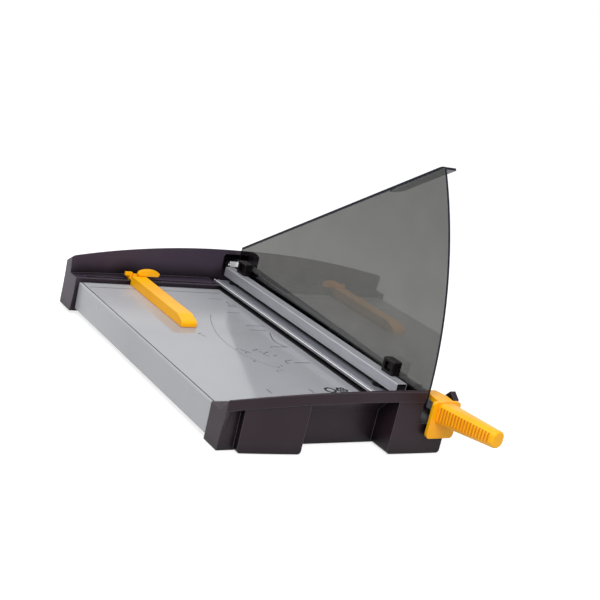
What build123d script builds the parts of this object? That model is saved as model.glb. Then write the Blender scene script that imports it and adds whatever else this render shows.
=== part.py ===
"""Guillotine paper cutter with a sprung clamp, a clear guard and a sliding paper guide.

The frame stands on the table, midway along the box that the cutter fills:
+X towards the blade, +Y towards the pivot end, +Z up, all in millimetres.
"""
import os
from math import asin, atan2, cos, pi, sin, sqrt

from build123d import *

os.makedirs("parts", exist_ok=True)

# Clearances, and the distance that a cut runs past a face
overrun = 5.0
seat_gap = 0.1
running_gap = 0.05
shear_gap = 0.1
slide_gap = 0.3

# Bed: a folded steel pan, open below
bed_length = 400.0
bed_tail = 30.0
bed_width = 267.0
bed_height = 47.0
bed_sheet = 1.5
bed_skirt = 38.0
bed_flange = 30.0
bed_fold = 2.5

# Hat sections under the bed
stiffener_sheet = 1.2
stiffener_width = 24.0
stiffener_height = 12.0
stiffener_lip = 10.0
stiffener_inset = 6.0
stiffener_shares = (0.3, 0.7)

# Grip strip along the cutting edge
strip_width = 46.5
strip_thickness = 1.0

# Lower blade
lower_blade_thickness = 3.0
lower_blade_height = 23.0
lower_blade_lead = 8.0
lower_screw_shares = (0.06, 0.28, 0.5, 0.72, 0.94)
lower_screw_rise_share = 0.45

# Countersunk blade screws
blade_screw_radius = 2.0
blade_screw_head_radius = 3.6
blade_screw_head_depth = 1.6
blade_screw_grip = 7.0

# Both end caps
cap_wall = 3.0
pad_proud = 2.0
cheek_thickness = 8.0

# Front end cap
front_depth = 36.0
front_bow = 23.0
fence_left = 16.0
fence_middle = 32.5
fence_right = 34.0
band_height = 13.0
band_proud = 1.5
shelf_depth = 20.0
ramp_run = 31.0
panel_depth = 22.0
wing_reach = 30.0
fence_corner = 4.0
wing_hollow = 1.5
left_foot_start = 21.0
left_foot_width = 79.0
right_foot_width = 79.0
foot_corner = 4.0
slot_floor_drop = 6.0
slot_lead = 8.0
cheek_drop = 15.0
cheek_lean_run = 12.0
cheek_lean_drop = 9.0

# Rear end cap
rear_step = 8.0
rear_depth = 42.0
rear_bow = 22.0
rear_lift = 3.5
rear_left_corner = 10.0
rear_right_corner = 18.0
rear_plan_corner = 8.0
flank_hollow = 2.0
ledge_depth = 22.0
ledge_height = 6.5
ledge_thickness = 5.0
wall_bow = 16.0
wall_left = 31.0
wall_middle = 49.0
wall_right = 50.5
wall_fall_share = 0.62
groove_start = 6.0
groove_inset = 10.0
groove_width = 5.0
groove_depth = 2.5
window_margin = 1.0
window_height = 45.0
window_corner = 5.0
window_right_corner = 12.0

# Screws and bosses that hold the caps to the bed
cap_screw_radius = 1.8
cap_screw_head_radius = 3.6
cap_screw_head_height = 2.2
cap_screw_length = 8.0
cap_screw_drop = 17.0
cap_screw_shares = (0.15, 0.5, 0.85)
boss_radius = 4.5

# Foot pads
pad_radius = 9.0
pad_peg_radius = 3.0
pad_peg_stand = 1.5
pad_front_inset = 26.0
pad_rear_inset = 24.0

# Pivot of the blade arm
pivot_back = 47.0
pivot_rise = 25.0
pivot_bolt_radius = 4.0
pivot_head_radius = 8.0
pivot_head_height = 4.0
pivot_nut_radius = 8.5
pivot_nut_height = 12.0
pivot_tail = 1.5
washer_radius = 8.5
spring_washer_height = 1.5
thrust_gap = 0.05

# Steel bracket that carries the pivot bolt
bracket_start = 6.0
bracket_top_drop = 3.0
bracket_boss_radius = 11.0
bracket_screw_radius = 2.0
bracket_screw_head_radius = 3.6
bracket_screw_head_height = 2.2
bracket_screw_inset = 6.0

# Blade arm
arm_width = 17.0
arm_height = 18.0
arm_drop = 13.0
arm_lead = 34.0
arm_side_gap = 7.0
arm_edge = 2.0
arm_pocket_depth = 10.0
arm_pocket_margin = 3.5
arm_pocket_rear = 34.0
arm_pocket_front = 40.0
bush_wall = 1.5
tang_thickness = 8.0
tang_height = 10.0
tang_length = 62.0

# Upper blade
upper_blade_thickness = 2.0
upper_blade_tail = 26.0
upper_blade_lead = 14.0
upper_blade_rear_cut = 3.0
upper_blade_middle_cut = 11.0
upper_blade_front_cut = 14.0
upper_blade_top_drop = 1.0
upper_screw_shares = (0.08, 0.29, 0.5, 0.71, 0.92)

# Handle: neck, hand plate and ribbed grip
handle_reach = 160.0
neck_width = 23.0
neck_start = 36.0
neck_top = 28.0
neck_tip = 3.5
neck_foot = 17.0
neck_taper_width = 7.0
neck_taper_length = 15.0
hand_plate_front = 66.5
hand_plate_thickness = 4.5
hand_plate_left = 8.5
hand_plate_right_inset = 1.5
hand_plate_top = 25.5
hand_plate_drop = 21.5
hand_plate_corner = 5.0
grip_root_width = 24.0
grip_root_height = 27.0
grip_root_rise = 11.0
grip_end_width = 18.0
grip_end_height = 21.0
grip_end_rise = 21.0
grip_root_corner = 6.0
grip_end_corner = 8.5
grip_end_round = 3.0
grip_rib_pitch = 5.0
grip_rib_count = 17
grip_groove_width = 2.4
grip_groove_depth = 1.6
grip_groove_top_drop = 4.5
handle_screw_radius = 2.0
handle_screw_head_radius = 3.6
handle_screw_head_height = 2.0
handle_screw_shares = (0.62, 0.9)

# Clamp: pressing plate, channel bar, posts and springs
clamp_gap = 5.1
clamp_front = 8.0
clamp_rear = 22.0
plate_width = 39.5
plate_thickness = 2.0
plate_lip_height = 1.4
plate_lip_width = 1.6
plate_rib_width = 3.0
plate_rib_inset = 6.0
plate_rib_height = 0.8
channel_width = 15.0
channel_height = 13.5
channel_sheet = 1.5
channel_edge = 1.2
channel_lift = 6.0
channel_gap = 5.5
channel_front = 16.0
channel_rear = 28.0
bush_radius = 8.9
post_radius = 3.0
post_front = 26.0
post_rear = 4.0
post_tail = 3.0
post_neck_radius = 2.2
clip_radius = 5.0
clip_thickness = 1.0
clip_slot = 3.0
cup_radius = 7.5
cup_wall = 1.0
cup_floor = 1.5
cup_depth = 20.0
cup_flange_radius = 9.5
spring_radius = 5.0
spring_wire = 1.4
spring_turns = 4

# Guard: clear panel with a bent lip, two blocks and their fixings
guard_thickness = 3.0
guard_gap = 5.5
guard_rear = 28.0
guard_foot = 2.0
guard_shoulder = 57.0
guard_angle = 29.8
guard_radius = 497.0
lip_length = 106.0
lip_width = 15.0
lip_corner = 14.5
bend_radius = 2.0
block_width = 13.5
block_length = 22.5
block_height = 18.0
block_edge = 2.0
block_front = 18.2
block_rear = 3.8
block_pocket_length = 13.0
block_pocket_height = 11.0
block_pocket_depth = 6.0
block_pocket_corner = 1.5
guard_screw_radius = 2.0
guard_screw_head_radius = 4.0
guard_screw_head_height = 2.5
guard_nut_radius = 4.2
guard_nut_height = 3.0

# Paper guide on the rear ledge
guide_left = 76.0
guide_width = 22.0
guide_reach = 167.0
guide_height = 13.5
guide_wall = 2.0
guide_nose_height = 3.0
guide_nose_run = 9.0
guide_nose_rise = 10.5
guide_nose_end = 21.0
guide_head_depth = 16.5
guide_head_thickness = 2.2
guide_tongue_gap = 0.3
guide_ear_width = 4.0
guide_ear_radius = 2.6
guide_hook_reach = 6.5
guide_hook_height = 5.0
guide_pin_radius = 1.4
guide_pin_back = 9.5
guide_pin_rise = 11.6

# Thumb lever of the paper guide
lever_reach = 5.5
lever_thickness = 5.0
lever_half_width = 16.5
lever_half_height = 6.5
lever_rise = 17.3
lever_flat_drop = 3.4
lever_shift = 26.0

# Places worked out from those sizes
body_width = (bed_width + lower_blade_thickness + shear_gap + upper_blade_thickness
              + arm_width + arm_side_gap + cheek_thickness)
overall_width = rear_step + body_width
overall_length = handle_reach + bed_length + rear_depth + rear_bow

x_left = -overall_width / 2
x_bed = x_left + rear_step
x_flange = x_bed + bed_width
x_cut = x_flange + lower_blade_thickness
x_blade = x_cut + shear_gap
x_arm = x_blade + upper_blade_thickness
x_arm_right = x_arm + arm_width
x_cheek = x_arm_right + arm_side_gap
x_right = x_cheek + cheek_thickness
x_arm_mid = (x_arm + x_arm_right) / 2
x_strip = x_flange - strip_width
x_guard_right = x_cut - guard_gap
x_guard = x_guard_right - guard_thickness
x_slot = x_guard - slot_lead
x_channel_right = x_guard - channel_gap
x_channel = x_channel_right - channel_width
x_post = x_channel + channel_width / 2
x_plate_right = x_guard - slide_gap
x_plate = x_plate_right - plate_width

y_handle = -overall_length / 2
y_bed = y_handle + handle_reach
y_rear = y_bed + bed_length
y_pan_rear = y_rear + bed_tail
y_front = y_bed - front_depth - front_bow
y_back = y_rear + rear_depth + rear_bow
y_panel = y_bed - panel_depth
y_shelf = y_bed - shelf_depth
y_slope = y_rear - overrun
y_pivot = y_rear + pivot_back
y_arm = y_bed - arm_lead
post_places = (y_bed + post_front, y_rear + post_rear)
block_places = (y_bed + block_front, y_rear - block_rear)

z_cap = pad_proud
z_rear_cap = z_cap + rear_lift
z_bed = bed_height
z_paper = z_bed + strip_thickness
z_plate = z_paper + clamp_gap
z_plate_top = z_plate + plate_thickness
z_channel = z_plate_top + channel_lift
z_channel_top = z_channel + channel_height
z_slot = z_bed - slot_floor_drop
z_ledge = z_bed + ledge_height
z_crest = z_bed + fence_right + overrun
z_wall_crest = z_bed + wall_right + overrun
z_pivot = z_bed + pivot_rise
z_cup = z_bed - cup_depth


def plane_x(x):
    """Plane across X, drawn in Y and Z."""
    return Plane.YZ.offset(x)


def plane_y(y):
    """Plane across Y, drawn in X and Z; it faces the front."""
    return Plane.XZ.offset(-y)


def plane_z(z):
    """Level plane, drawn in X and Y."""
    return Plane.XY.offset(z)


def block(x_span, y_span, z_span, mode=Mode.ADD):
    """Box between three pairs of faces."""
    middle = [(span[0] + span[1]) / 2 for span in (x_span, y_span, z_span)]
    with Locations(tuple(middle)):
        Box(x_span[1] - x_span[0], y_span[1] - y_span[0], z_span[1] - z_span[0], mode=mode)


def rod_x(x_span, y, z, radius, mode=Mode.ADD):
    """Round rod along X."""
    with Locations(Location(((x_span[0] + x_span[1]) / 2, y, z), (0, 90, 0))):
        Cylinder(radius, x_span[1] - x_span[0], mode=mode)


def rod_y(x, y_span, z, radius, mode=Mode.ADD):
    """Round rod along Y."""
    with Locations(Location((x, (y_span[0] + y_span[1]) / 2, z), (90, 0, 0))):
        Cylinder(radius, y_span[1] - y_span[0], mode=mode)


def rod_z(x, y, z_span, radius, mode=Mode.ADD):
    """Round rod along Z."""
    with Locations((x, y, (z_span[0] + z_span[1]) / 2)):
        Cylinder(radius, z_span[1] - z_span[0], mode=mode)


def cone_x(x_span, y, z, first_radius, last_radius, mode=Mode.ADD):
    """Cone along X, from its radius at the low end to its radius at the high end."""
    with Locations(Location(((x_span[0] + x_span[1]) / 2, y, z), (0, 90, 0))):
        Cone(first_radius, last_radius, x_span[1] - x_span[0], mode=mode)


def bow_in(x, bow):
    """How far an end face that is bowed in plan has fallen back at x from its depth at the right."""
    reach = x_right - x_left
    radius = (reach**2 + bow**2) / (2 * bow)
    return radius - sqrt(radius**2 - (x_right - x) ** 2)


def front_y(x):
    """Bowed front face of the front end cap."""
    return y_front + bow_in(x, front_bow)


def back_y(x):
    """Bowed back face of the rear end cap."""
    return y_back - bow_in(x, rear_bow)


def wall_y(x):
    """Bowed front face of the rear end cap's tall wall."""
    return y_rear + ledge_depth + wall_bow - bow_in(x, wall_bow)


def arch_z(x, left, middle, right):
    """Height above the bed of an arched top edge, given at the two ends and halfway."""
    share = (x - x_left) / (x_right - x_left)
    bend = 2 * (left + right - 2 * middle)
    return z_bed + left + (right - left - bend) * share + bend * share**2


def fence_z(x):
    """Arched top of the front fence."""
    return arch_z(x, fence_left, fence_middle, fence_right)


def band_z(x):
    """Lower edge of the band along the front fence."""
    return fence_z(x) - band_height


def wall_z(x):
    """Arched top of the rear wall."""
    return arch_z(x, wall_left, wall_middle, wall_right)


def wall_slope_z(x):
    """Top of the rear wall, carried forward past the cap up the slope that it falls back along."""
    return wall_z(x) + wall_fall_share * (wall_y(x) - y_slope)


def arc_along_x(curve, x_first, x_last, shift=0):
    """Arc through a curve of x at two ends and halfway, moved across by a shift."""
    x_half = (x_first + x_last) / 2
    places = [(x, curve(x) + shift) for x in (x_first, x_half, x_last)]
    return ThreePointArc(*places)


def finish_part(part, name):
    """Label a finished piece and write it."""
    part.label = name
    export_step(part, f"parts/{name}.step")


# Bed pan: left skirt, three shorter flanges, holes for screws and spring cups
recess_start = x_bed + left_foot_start + left_foot_width
recess_end = x_cheek - right_foot_width
cap_screw_places = [recess_start + share * (recess_end - recess_start) for share in cap_screw_shares]
z_cap_screw = z_bed - cap_screw_drop
y_bracket = y_rear + bracket_start
bracket_screw_places = (y_bracket + bracket_screw_inset, y_pan_rear - bracket_screw_inset)
z_bracket_screw = z_bed - bed_flange / 2
lower_blade_span = (y_bed - lower_blade_lead, y_bracket - seat_gap)
lower_screw_places = [y_bed + share * bed_length for share in lower_screw_shares]
z_lower_screw = z_paper - lower_blade_height * (1 - lower_screw_rise_share)

with BuildPart() as bed_plate:
    block((x_bed, x_flange), (y_bed, y_pan_rear), (z_bed - bed_skirt, z_bed))
    top_edges = bed_plate.faces().sort_by(Axis.Z)[-1].edges()
    fillet(top_edges, radius=bed_fold)
    offset(amount=-bed_sheet, openings=bed_plate.faces().sort_by(Axis.Z)[0])
    block((x_bed + bed_fold, x_flange + overrun), (y_bed - overrun, y_pan_rear + overrun),
          (z_bed - bed_skirt - overrun, z_bed - bed_flange), mode=Mode.SUBTRACT)
    for x in cap_screw_places:
        rod_y(x, (y_bed - overrun, y_bed + overrun), z_cap_screw, cap_screw_radius + seat_gap,
              mode=Mode.SUBTRACT)
        rod_y(x, (y_pan_rear - overrun, y_pan_rear + overrun), z_cap_screw,
              cap_screw_radius + seat_gap, mode=Mode.SUBTRACT)
    for y in lower_screw_places:
        rod_x((x_flange - overrun, x_flange + overrun), y, z_lower_screw,
              blade_screw_radius + seat_gap, mode=Mode.SUBTRACT)
    for y in bracket_screw_places:
        rod_x((x_flange - overrun, x_flange + overrun), y, z_bracket_screw,
              bracket_screw_radius + seat_gap, mode=Mode.SUBTRACT)
    for y in post_places:
        rod_z(x_post, y, (z_bed - overrun, z_bed + overrun), cup_radius + seat_gap, mode=Mode.SUBTRACT)
finish_part(bed_plate.part, "bed_plate")

# Hat sections across the underside of the bed
z_under_bed = z_bed - bed_sheet
with BuildPart() as bed_stiffeners:
    for share in stiffener_shares:
        y = y_bed + share * bed_length
        with BuildSketch(plane_x(x_bed + stiffener_inset)):
            lip_middle = (stiffener_width + stiffener_lip) / 2
            with Locations((y - lip_middle, z_under_bed), (y + lip_middle, z_under_bed)):
                Rectangle(stiffener_lip, stiffener_sheet, align=(Align.CENTER, Align.MAX))
            with Locations((y, z_under_bed)):
                Rectangle(stiffener_width, stiffener_height, align=(Align.CENTER, Align.MAX))
                Rectangle(stiffener_width - 2 * stiffener_sheet, stiffener_height - stiffener_sheet,
                          align=(Align.CENTER, Align.MAX), mode=Mode.SUBTRACT)
        extrude(amount=bed_width - 2 * stiffener_inset)
finish_part(bed_stiffeners.part, "bed_stiffeners")

# Front end cap: arched fence, proud band, two feet, a swept wing and the arm's slot
y_ahead = y_front - overrun
y_ramp = y_shelf - ramp_run * (z_crest - z_bed) / fence_right
foot_spans = ((x_bed + left_foot_start, recess_start), (recess_end, x_cheek))
recess_spans = ((x_bed + cap_wall, foot_spans[0][0]), (recess_start, recess_end))
recess_depths = (wing_reach, panel_depth)
pad_front_places = [((span[0] + span[1]) / 2, y_bed - pad_front_inset) for span in foot_spans]

with BuildPart() as band_relief:
    with BuildSketch(plane_z(z_cap - overrun)):
        with BuildLine():
            inner = arc_along_x(front_y, x_left, x_right, band_proud)
            Polyline(inner @ 1, (x_right, y_ahead), (x_left, y_ahead), inner @ 0)
        make_face()
    extrude(amount=z_crest - z_cap + overrun)
    with BuildSketch(plane_y(y_bed)):
        with BuildLine():
            lower = arc_along_x(band_z, x_left, x_right)
            Polyline(lower @ 1, (x_right, z_cap - overrun), (x_left, z_cap - overrun), lower @ 0)
        make_face()
    extrude(amount=y_bed - y_ahead, mode=Mode.INTERSECT)

ramp_slope = fence_right / ramp_run
ramp_skin = cap_wall * sqrt(1 + ramp_slope**2)

with BuildPart() as foot_recess:
    for (x_first, x_last), depth in zip(recess_spans, recess_depths):
        y_face = y_bed - depth
        z_face_top = z_bed + ramp_slope * (depth - shelf_depth) - ramp_skin
        with BuildSketch(plane_x(x_first)):
            with BuildLine():
                Polyline((y_face, z_cap - overrun), (y_face, z_face_top),
                         (y_ahead, z_face_top + ramp_slope * (y_face - y_ahead)),
                         (y_ahead, z_cap - overrun), close=True)
            make_face()
        extrude(amount=x_last - x_first)
    with BuildSketch(plane_y(y_bed)):
        with BuildLine():
            lower = arc_along_x(band_z, x_left, x_right)
            Polyline(lower @ 1, (x_right, z_cap - overrun), (x_left, z_cap - overrun), lower @ 0)
        make_face()
    extrude(amount=y_bed - y_ahead, mode=Mode.INTERSECT)

with BuildPart() as front_end_cap:
    with BuildSketch(plane_x(x_bed)):
        with BuildLine():
            Polyline((y_bed, z_cap), (y_bed, z_bed), (y_shelf, z_bed), (y_ramp, z_crest),
                     (y_ahead, z_crest), (y_ahead, z_cap), close=True)
        make_face()
    extrude(amount=x_right - x_bed)
    with BuildSketch(plane_z(z_cap)) as front_plan:
        with BuildLine():
            bowed = arc_along_x(front_y, x_bed, x_right)
            Polyline(bowed @ 1, (x_right, y_bed), (x_bed, y_bed), bowed @ 0)
        make_face()
        fillet(front_plan.vertices().group_by(Axis.X)[0].sort_by(Axis.Y)[0], radius=fence_corner)
    extrude(amount=z_crest - z_cap, mode=Mode.INTERSECT)
    with BuildSketch(plane_y(y_bed)):
        with BuildLine():
            arch = arc_along_x(fence_z, x_bed, x_right)
            Polyline(arch @ 1, (x_right, z_cap), (x_bed, z_cap), arch @ 0)
        make_face()
    extrude(amount=y_bed - y_ahead, mode=Mode.INTERSECT)
    add(band_relief.part, mode=Mode.SUBTRACT)
    # Recesses beside the feet, under the band, and the hollow behind their panel
    add(foot_recess.part, mode=Mode.SUBTRACT)
    for (x_first, x_last), depth in zip(recess_spans, recess_depths):
        block((x_first, x_last), (y_bed - depth + cap_wall, y_bed + overrun),
              (z_cap - overrun, z_bed - cap_wall), mode=Mode.SUBTRACT)
    # The right foot is narrower than the fence above it
    block((x_cheek, x_right + overrun), (y_ahead, y_bed + overrun),
          (z_cap - overrun, z_bed - cheek_drop), mode=Mode.SUBTRACT)
    bottom_edges = front_end_cap.edges().filter_by(Axis.Y).group_by(Axis.Z)[0]
    foot_edges = bottom_edges.filter_by_position(Axis.X, foot_spans[0][0] - seat_gap, x_right)
    fillet(foot_edges, radius=foot_corner)
    # Swept front edge of the left wing
    with BuildSketch(plane_x(x_bed - overrun)):
        with BuildLine():
            z_wing = band_z(x_bed)
            swoosh = ThreePointArc((y_bed - wing_reach, z_cap),
                                   (y_bed - wing_reach - wing_hollow, (z_cap + z_wing) / 2),
                                   (front_y(x_bed), z_wing))
            Polyline(swoosh @ 1, (y_ahead, z_wing), (y_ahead, z_cap - overrun),
                     (y_bed - wing_reach, z_cap - overrun), swoosh @ 0)
        make_face()
    extrude(amount=overrun + cap_wall, mode=Mode.SUBTRACT)
    # Feet are hollow from the bed's side, with a floor
    for x_first, x_last in foot_spans:
        with BuildSketch(plane_z(z_cap + cap_wall)):
            with BuildLine():
                inner = arc_along_x(front_y, x_first + cap_wall, x_last - cap_wall, band_proud + cap_wall)
                Polyline(inner @ 1, (x_last - cap_wall, y_bed + overrun),
                         (x_first + cap_wall, y_bed + overrun), inner @ 0)
            make_face()
        extrude(amount=z_slot - 2 * cap_wall - z_cap, mode=Mode.SUBTRACT)
    # Slot that the arm and the guard drop into
    block((x_slot, x_cheek), (y_ahead, y_bed + overrun), (z_slot, z_crest + overrun), mode=Mode.SUBTRACT)
    block((x_slot, x_cheek - cap_wall), (y_panel, y_bed + overrun), (z_cap + cap_wall, z_crest),
          mode=Mode.SUBTRACT)
    # The cheek beside the slot leans back at its top
    with BuildSketch(plane_x(x_cheek - overrun)):
        with BuildLine():
            z_cheek = fence_z(x_cheek)
            Polyline((y_ahead, z_cheek - cheek_lean_drop), (y_front, z_cheek - cheek_lean_drop),
                     (y_front + cheek_lean_run, z_cheek), (y_front + cheek_lean_run, z_crest),
                     (y_ahead, z_crest), close=True)
        make_face()
    extrude(amount=x_right - x_cheek + 2 * overrun, mode=Mode.SUBTRACT)
    for x in cap_screw_places:
        rod_y(x, (y_panel + cap_wall / 2, y_bed), z_cap_screw, boss_radius)
        rod_y(x, (y_panel + cap_wall, y_bed + overrun), z_cap_screw, cap_screw_radius + seat_gap,
              mode=Mode.SUBTRACT)
    for x, y in pad_front_places:
        rod_z(x, y, (z_cap - overrun, z_cap + overrun), pad_peg_radius + seat_gap, mode=Mode.SUBTRACT)
finish_part(front_end_cap.part, "front_end_cap")

# Rear end cap: ledge for the guide, bowed and arched hollow wall, window for the arm
z_ledge_under = z_ledge - ledge_thickness
x_window = x_channel - window_margin
wall_fall = Vector(0, 1, -wall_fall_share)
wall_run = (y_back + overrun - y_slope) * wall_fall.length
wall_skin = cap_wall * wall_fall.length
pad_rear_places = [(x_bed + pad_rear_inset, y_rear + pad_rear_inset),
                   (x_cheek - pad_rear_inset, y_rear + pad_rear_inset)]

with BuildPart() as wall_hollow:
    with BuildSketch(plane_z(z_ledge_under - cap_wall)):
        with BuildLine():
            near = arc_along_x(wall_y, x_bed, x_cheek, cap_wall)
            far = arc_along_x(back_y, x_bed, x_cheek, -cap_wall)
            Line(near @ 0, far @ 0)
            Line(near @ 1, far @ 1)
        make_face()
    extrude(amount=z_wall_crest - z_ledge_under)
    with BuildSketch(plane_y(y_slope)) as hollow_arch:
        with BuildLine():
            arch = arc_along_x(wall_slope_z, x_bed, x_cheek, -wall_skin)
            Polyline(arch @ 1, (x_cheek, z_cap), (x_bed, z_cap), arch @ 0)
        make_face()
        fillet(hollow_arch.vertices().sort_by(Axis.Y)[-1], radius=rear_right_corner / 2)
    extrude(amount=wall_run, dir=wall_fall, mode=Mode.INTERSECT)

with BuildPart() as rear_end_cap:
    with BuildSketch(plane_z(z_rear_cap)) as rear_plan:
        with BuildLine():
            far = arc_along_x(back_y, x_left, x_right)
            Polyline(far @ 1, (x_right, y_rear), (x_left, y_rear), far @ 0)
        make_face()
        fillet(rear_plan.vertices().sort_by(Axis.Y)[-2:], radius=rear_plan_corner)
    extrude(amount=z_ledge - z_rear_cap)
    with BuildSketch(plane_z(z_ledge)) as wall_plan:
        with BuildLine():
            near = arc_along_x(wall_y, x_left, x_right)
            far = arc_along_x(back_y, x_left, x_right)
            Line(near @ 0, far @ 0)
            Line(near @ 1, far @ 1)
        make_face()
        for end in (0, -1):
            fillet(wall_plan.vertices().sort_by(Axis.X)[end], radius=rear_plan_corner)
    extrude(amount=z_wall_crest - z_ledge)
    with BuildSketch(plane_y(y_slope)) as rear_arch:
        with BuildLine():
            arch = arc_along_x(wall_slope_z, x_left - overrun, x_right + overrun)
            Polyline(arch @ 1, (x_right + overrun, z_rear_cap - overrun),
                     (x_left - overrun, z_rear_cap - overrun), arch @ 0)
        make_face()
        fillet(rear_arch.vertices().group_by(Axis.X)[-1].sort_by(Axis.Y)[-1],
               radius=rear_right_corner + overrun)
        fillet(rear_arch.vertices().group_by(Axis.X)[0].sort_by(Axis.Y)[-1],
               radius=rear_left_corner + overrun)
    extrude(amount=wall_run, dir=wall_fall, mode=Mode.INTERSECT)
    # The left flank is slightly hollow
    with BuildSketch(plane_y(y_back + overrun)):
        with BuildLine():
            z_flank = wall_z(x_left)
            flank = ThreePointArc((x_left, z_flank), (x_left + flank_hollow, (z_rear_cap + z_flank) / 2),
                                  (x_left, z_rear_cap))
            Polyline(flank @ 1, (x_left - overrun, z_rear_cap), (x_left - overrun, z_flank), flank @ 0)
        make_face()
    extrude(amount=y_back + overrun - y_slope, mode=Mode.SUBTRACT)
    add(wall_hollow.part, mode=Mode.SUBTRACT)
    # Bay that the end of the bed slides into, over the floor
    x_bay = x_left + flank_hollow + cap_wall
    z_bay = z_rear_cap + cap_wall
    with BuildSketch(plane_z(z_bay)):
        with BuildLine():
            far = arc_along_x(back_y, x_bay, x_cheek, -cap_wall)
            Polyline(far @ 1, (x_cheek, y_rear + cap_wall), (x_bay, y_rear + cap_wall), far @ 0)
        make_face()
    extrude(amount=z_ledge_under - z_bay, mode=Mode.SUBTRACT)
    block((x_bed - seat_gap, x_cheek), (y_rear - overrun, y_rear + 2 * cap_wall), (z_bay, z_bed),
          mode=Mode.SUBTRACT)
    # Recess for the clamp's rear end, cut down to the bed in front of the wall
    with BuildSketch(plane_z(z_bed)):
        with BuildLine():
            near = arc_along_x(wall_y, x_strip, x_cheek)
            Polyline(near @ 1, (x_cheek, y_rear - overrun), (x_strip, y_rear - overrun), near @ 0)
        make_face()
    extrude(amount=z_wall_crest - z_bed, mode=Mode.SUBTRACT)
    # Window in the wall for the channel and the arm
    with BuildSketch(plane_y(y_rear)) as window:
        with Locations(((x_window + x_cheek) / 2, z_bed + window_height)):
            Rectangle(x_cheek - x_window, window_height + cap_wall, align=(Align.CENTER, Align.MAX))
        window_tops = window.vertices().group_by(Axis.Y)[-1].sort_by(Axis.X)
        fillet(window_tops[0], radius=window_corner)
        fillet(window.vertices().group_by(Axis.X)[-1].sort_by(Axis.Y)[-1], radius=window_right_corner)
    extrude(amount=-(ledge_depth + wall_bow + 2 * cap_wall), mode=Mode.SUBTRACT)
    block((x_bed + groove_inset, x_strip), (y_rear + groove_start, y_rear + groove_start + groove_width),
          (z_ledge - groove_depth, z_ledge + overrun), mode=Mode.SUBTRACT)
    for x in cap_screw_places:
        rod_y(x, (y_pan_rear, back_y(x) - cap_wall / 2), z_cap_screw, boss_radius)
        rod_y(x, (y_pan_rear - overrun, back_y(x) - cap_wall), z_cap_screw,
              cap_screw_radius + seat_gap, mode=Mode.SUBTRACT)
    for x, y in pad_rear_places:
        rod_z(x, y, (z_rear_cap - overrun, z_rear_cap + overrun), pad_peg_radius + seat_gap,
              mode=Mode.SUBTRACT)
finish_part(rear_end_cap.part, "rear_end_cap")

# Rubber foot pads, pegged into the cap floors
with BuildPart() as foot_pads:
    for places, z_seat in ((pad_front_places, z_cap), (pad_rear_places, z_rear_cap)):
        for x, y in places:
            rod_z(x, y, (0, z_seat), pad_radius)
            rod_z(x, y, (0, z_seat + cap_wall + pad_peg_stand), pad_peg_radius)
finish_part(foot_pads.part, "foot_pads")

# Screws through the bed's end flanges into the caps
with BuildPart() as end_cap_screws:
    for x in cap_screw_places:
        y_seat = y_bed + bed_sheet
        rod_y(x, (y_seat, y_seat + cap_screw_head_height), z_cap_screw, cap_screw_head_radius)
        rod_y(x, (y_seat - cap_screw_length, y_seat), z_cap_screw, cap_screw_radius)
        y_seat = y_pan_rear - bed_sheet
        rod_y(x, (y_seat - cap_screw_head_height, y_seat), z_cap_screw, cap_screw_head_radius)
        rod_y(x, (y_seat, y_seat + cap_screw_length), z_cap_screw, cap_screw_radius)
finish_part(end_cap_screws.part, "end_cap_screws")

# Grip strip beside the cutting edge
with BuildPart() as grip_strip:
    block((x_strip, x_flange), (y_bed, y_pan_rear), (z_bed, z_paper))
    for y in post_places:
        rod_z(x_post, y, (z_bed - overrun, z_paper + overrun), cup_flange_radius + seat_gap,
              mode=Mode.SUBTRACT)
finish_part(grip_strip.part, "grip_strip")

# Lower blade on the bed's right flange, with countersunk screws
with BuildPart() as lower_blade:
    block((x_flange, x_cut), lower_blade_span, (z_paper - lower_blade_height, z_paper))
    for y in lower_screw_places:
        rod_x((x_flange - overrun, x_cut + overrun), y, z_lower_screw, blade_screw_radius + seat_gap,
              mode=Mode.SUBTRACT)
        cone_x((x_cut - blade_screw_head_depth, x_cut), y, z_lower_screw,
               blade_screw_radius + seat_gap, blade_screw_head_radius + seat_gap, mode=Mode.SUBTRACT)
finish_part(lower_blade.part, "lower_blade")

with BuildPart() as lower_blade_screws:
    for y in lower_screw_places:
        cone_x((x_cut - blade_screw_head_depth, x_cut), y, z_lower_screw,
               blade_screw_radius, blade_screw_head_radius)
        rod_x((x_cut - blade_screw_grip, x_cut - blade_screw_head_depth), y, z_lower_screw,
              blade_screw_radius)
finish_part(lower_blade_screws.part, "lower_blade_screws")

# Bracket plate on the flange behind the lower blade, rising to the pivot
with BuildPart() as pivot_bracket:
    with BuildSketch(plane_x(x_flange)):
        with Locations((y_pivot, z_pivot)):
            Circle(bracket_boss_radius)
        with Locations(((y_bracket + y_pan_rear) / 2, z_bed - bracket_top_drop)):
            Rectangle(y_pan_rear - y_bracket, bed_flange - bracket_top_drop,
                      align=(Align.CENTER, Align.MAX))
        make_hull()
    extrude(amount=lower_blade_thickness)
    rod_x((x_flange - overrun, x_cut + overrun), y_pivot, z_pivot, pivot_bolt_radius + running_gap,
          mode=Mode.SUBTRACT)
    for y in bracket_screw_places:
        rod_x((x_flange - overrun, x_cut + overrun), y, z_bracket_screw,
              bracket_screw_radius + seat_gap, mode=Mode.SUBTRACT)
finish_part(pivot_bracket.part, "pivot_bracket")

with BuildPart() as pivot_bracket_screws:
    x_seat = x_flange - bed_sheet
    for y in bracket_screw_places:
        rod_x((x_seat - bracket_screw_head_height, x_seat), y, z_bracket_screw,
              bracket_screw_head_radius)
        rod_x((x_seat, x_cut), y, z_bracket_screw, bracket_screw_radius)
finish_part(pivot_bracket_screws.part, "pivot_bracket_screws")

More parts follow.
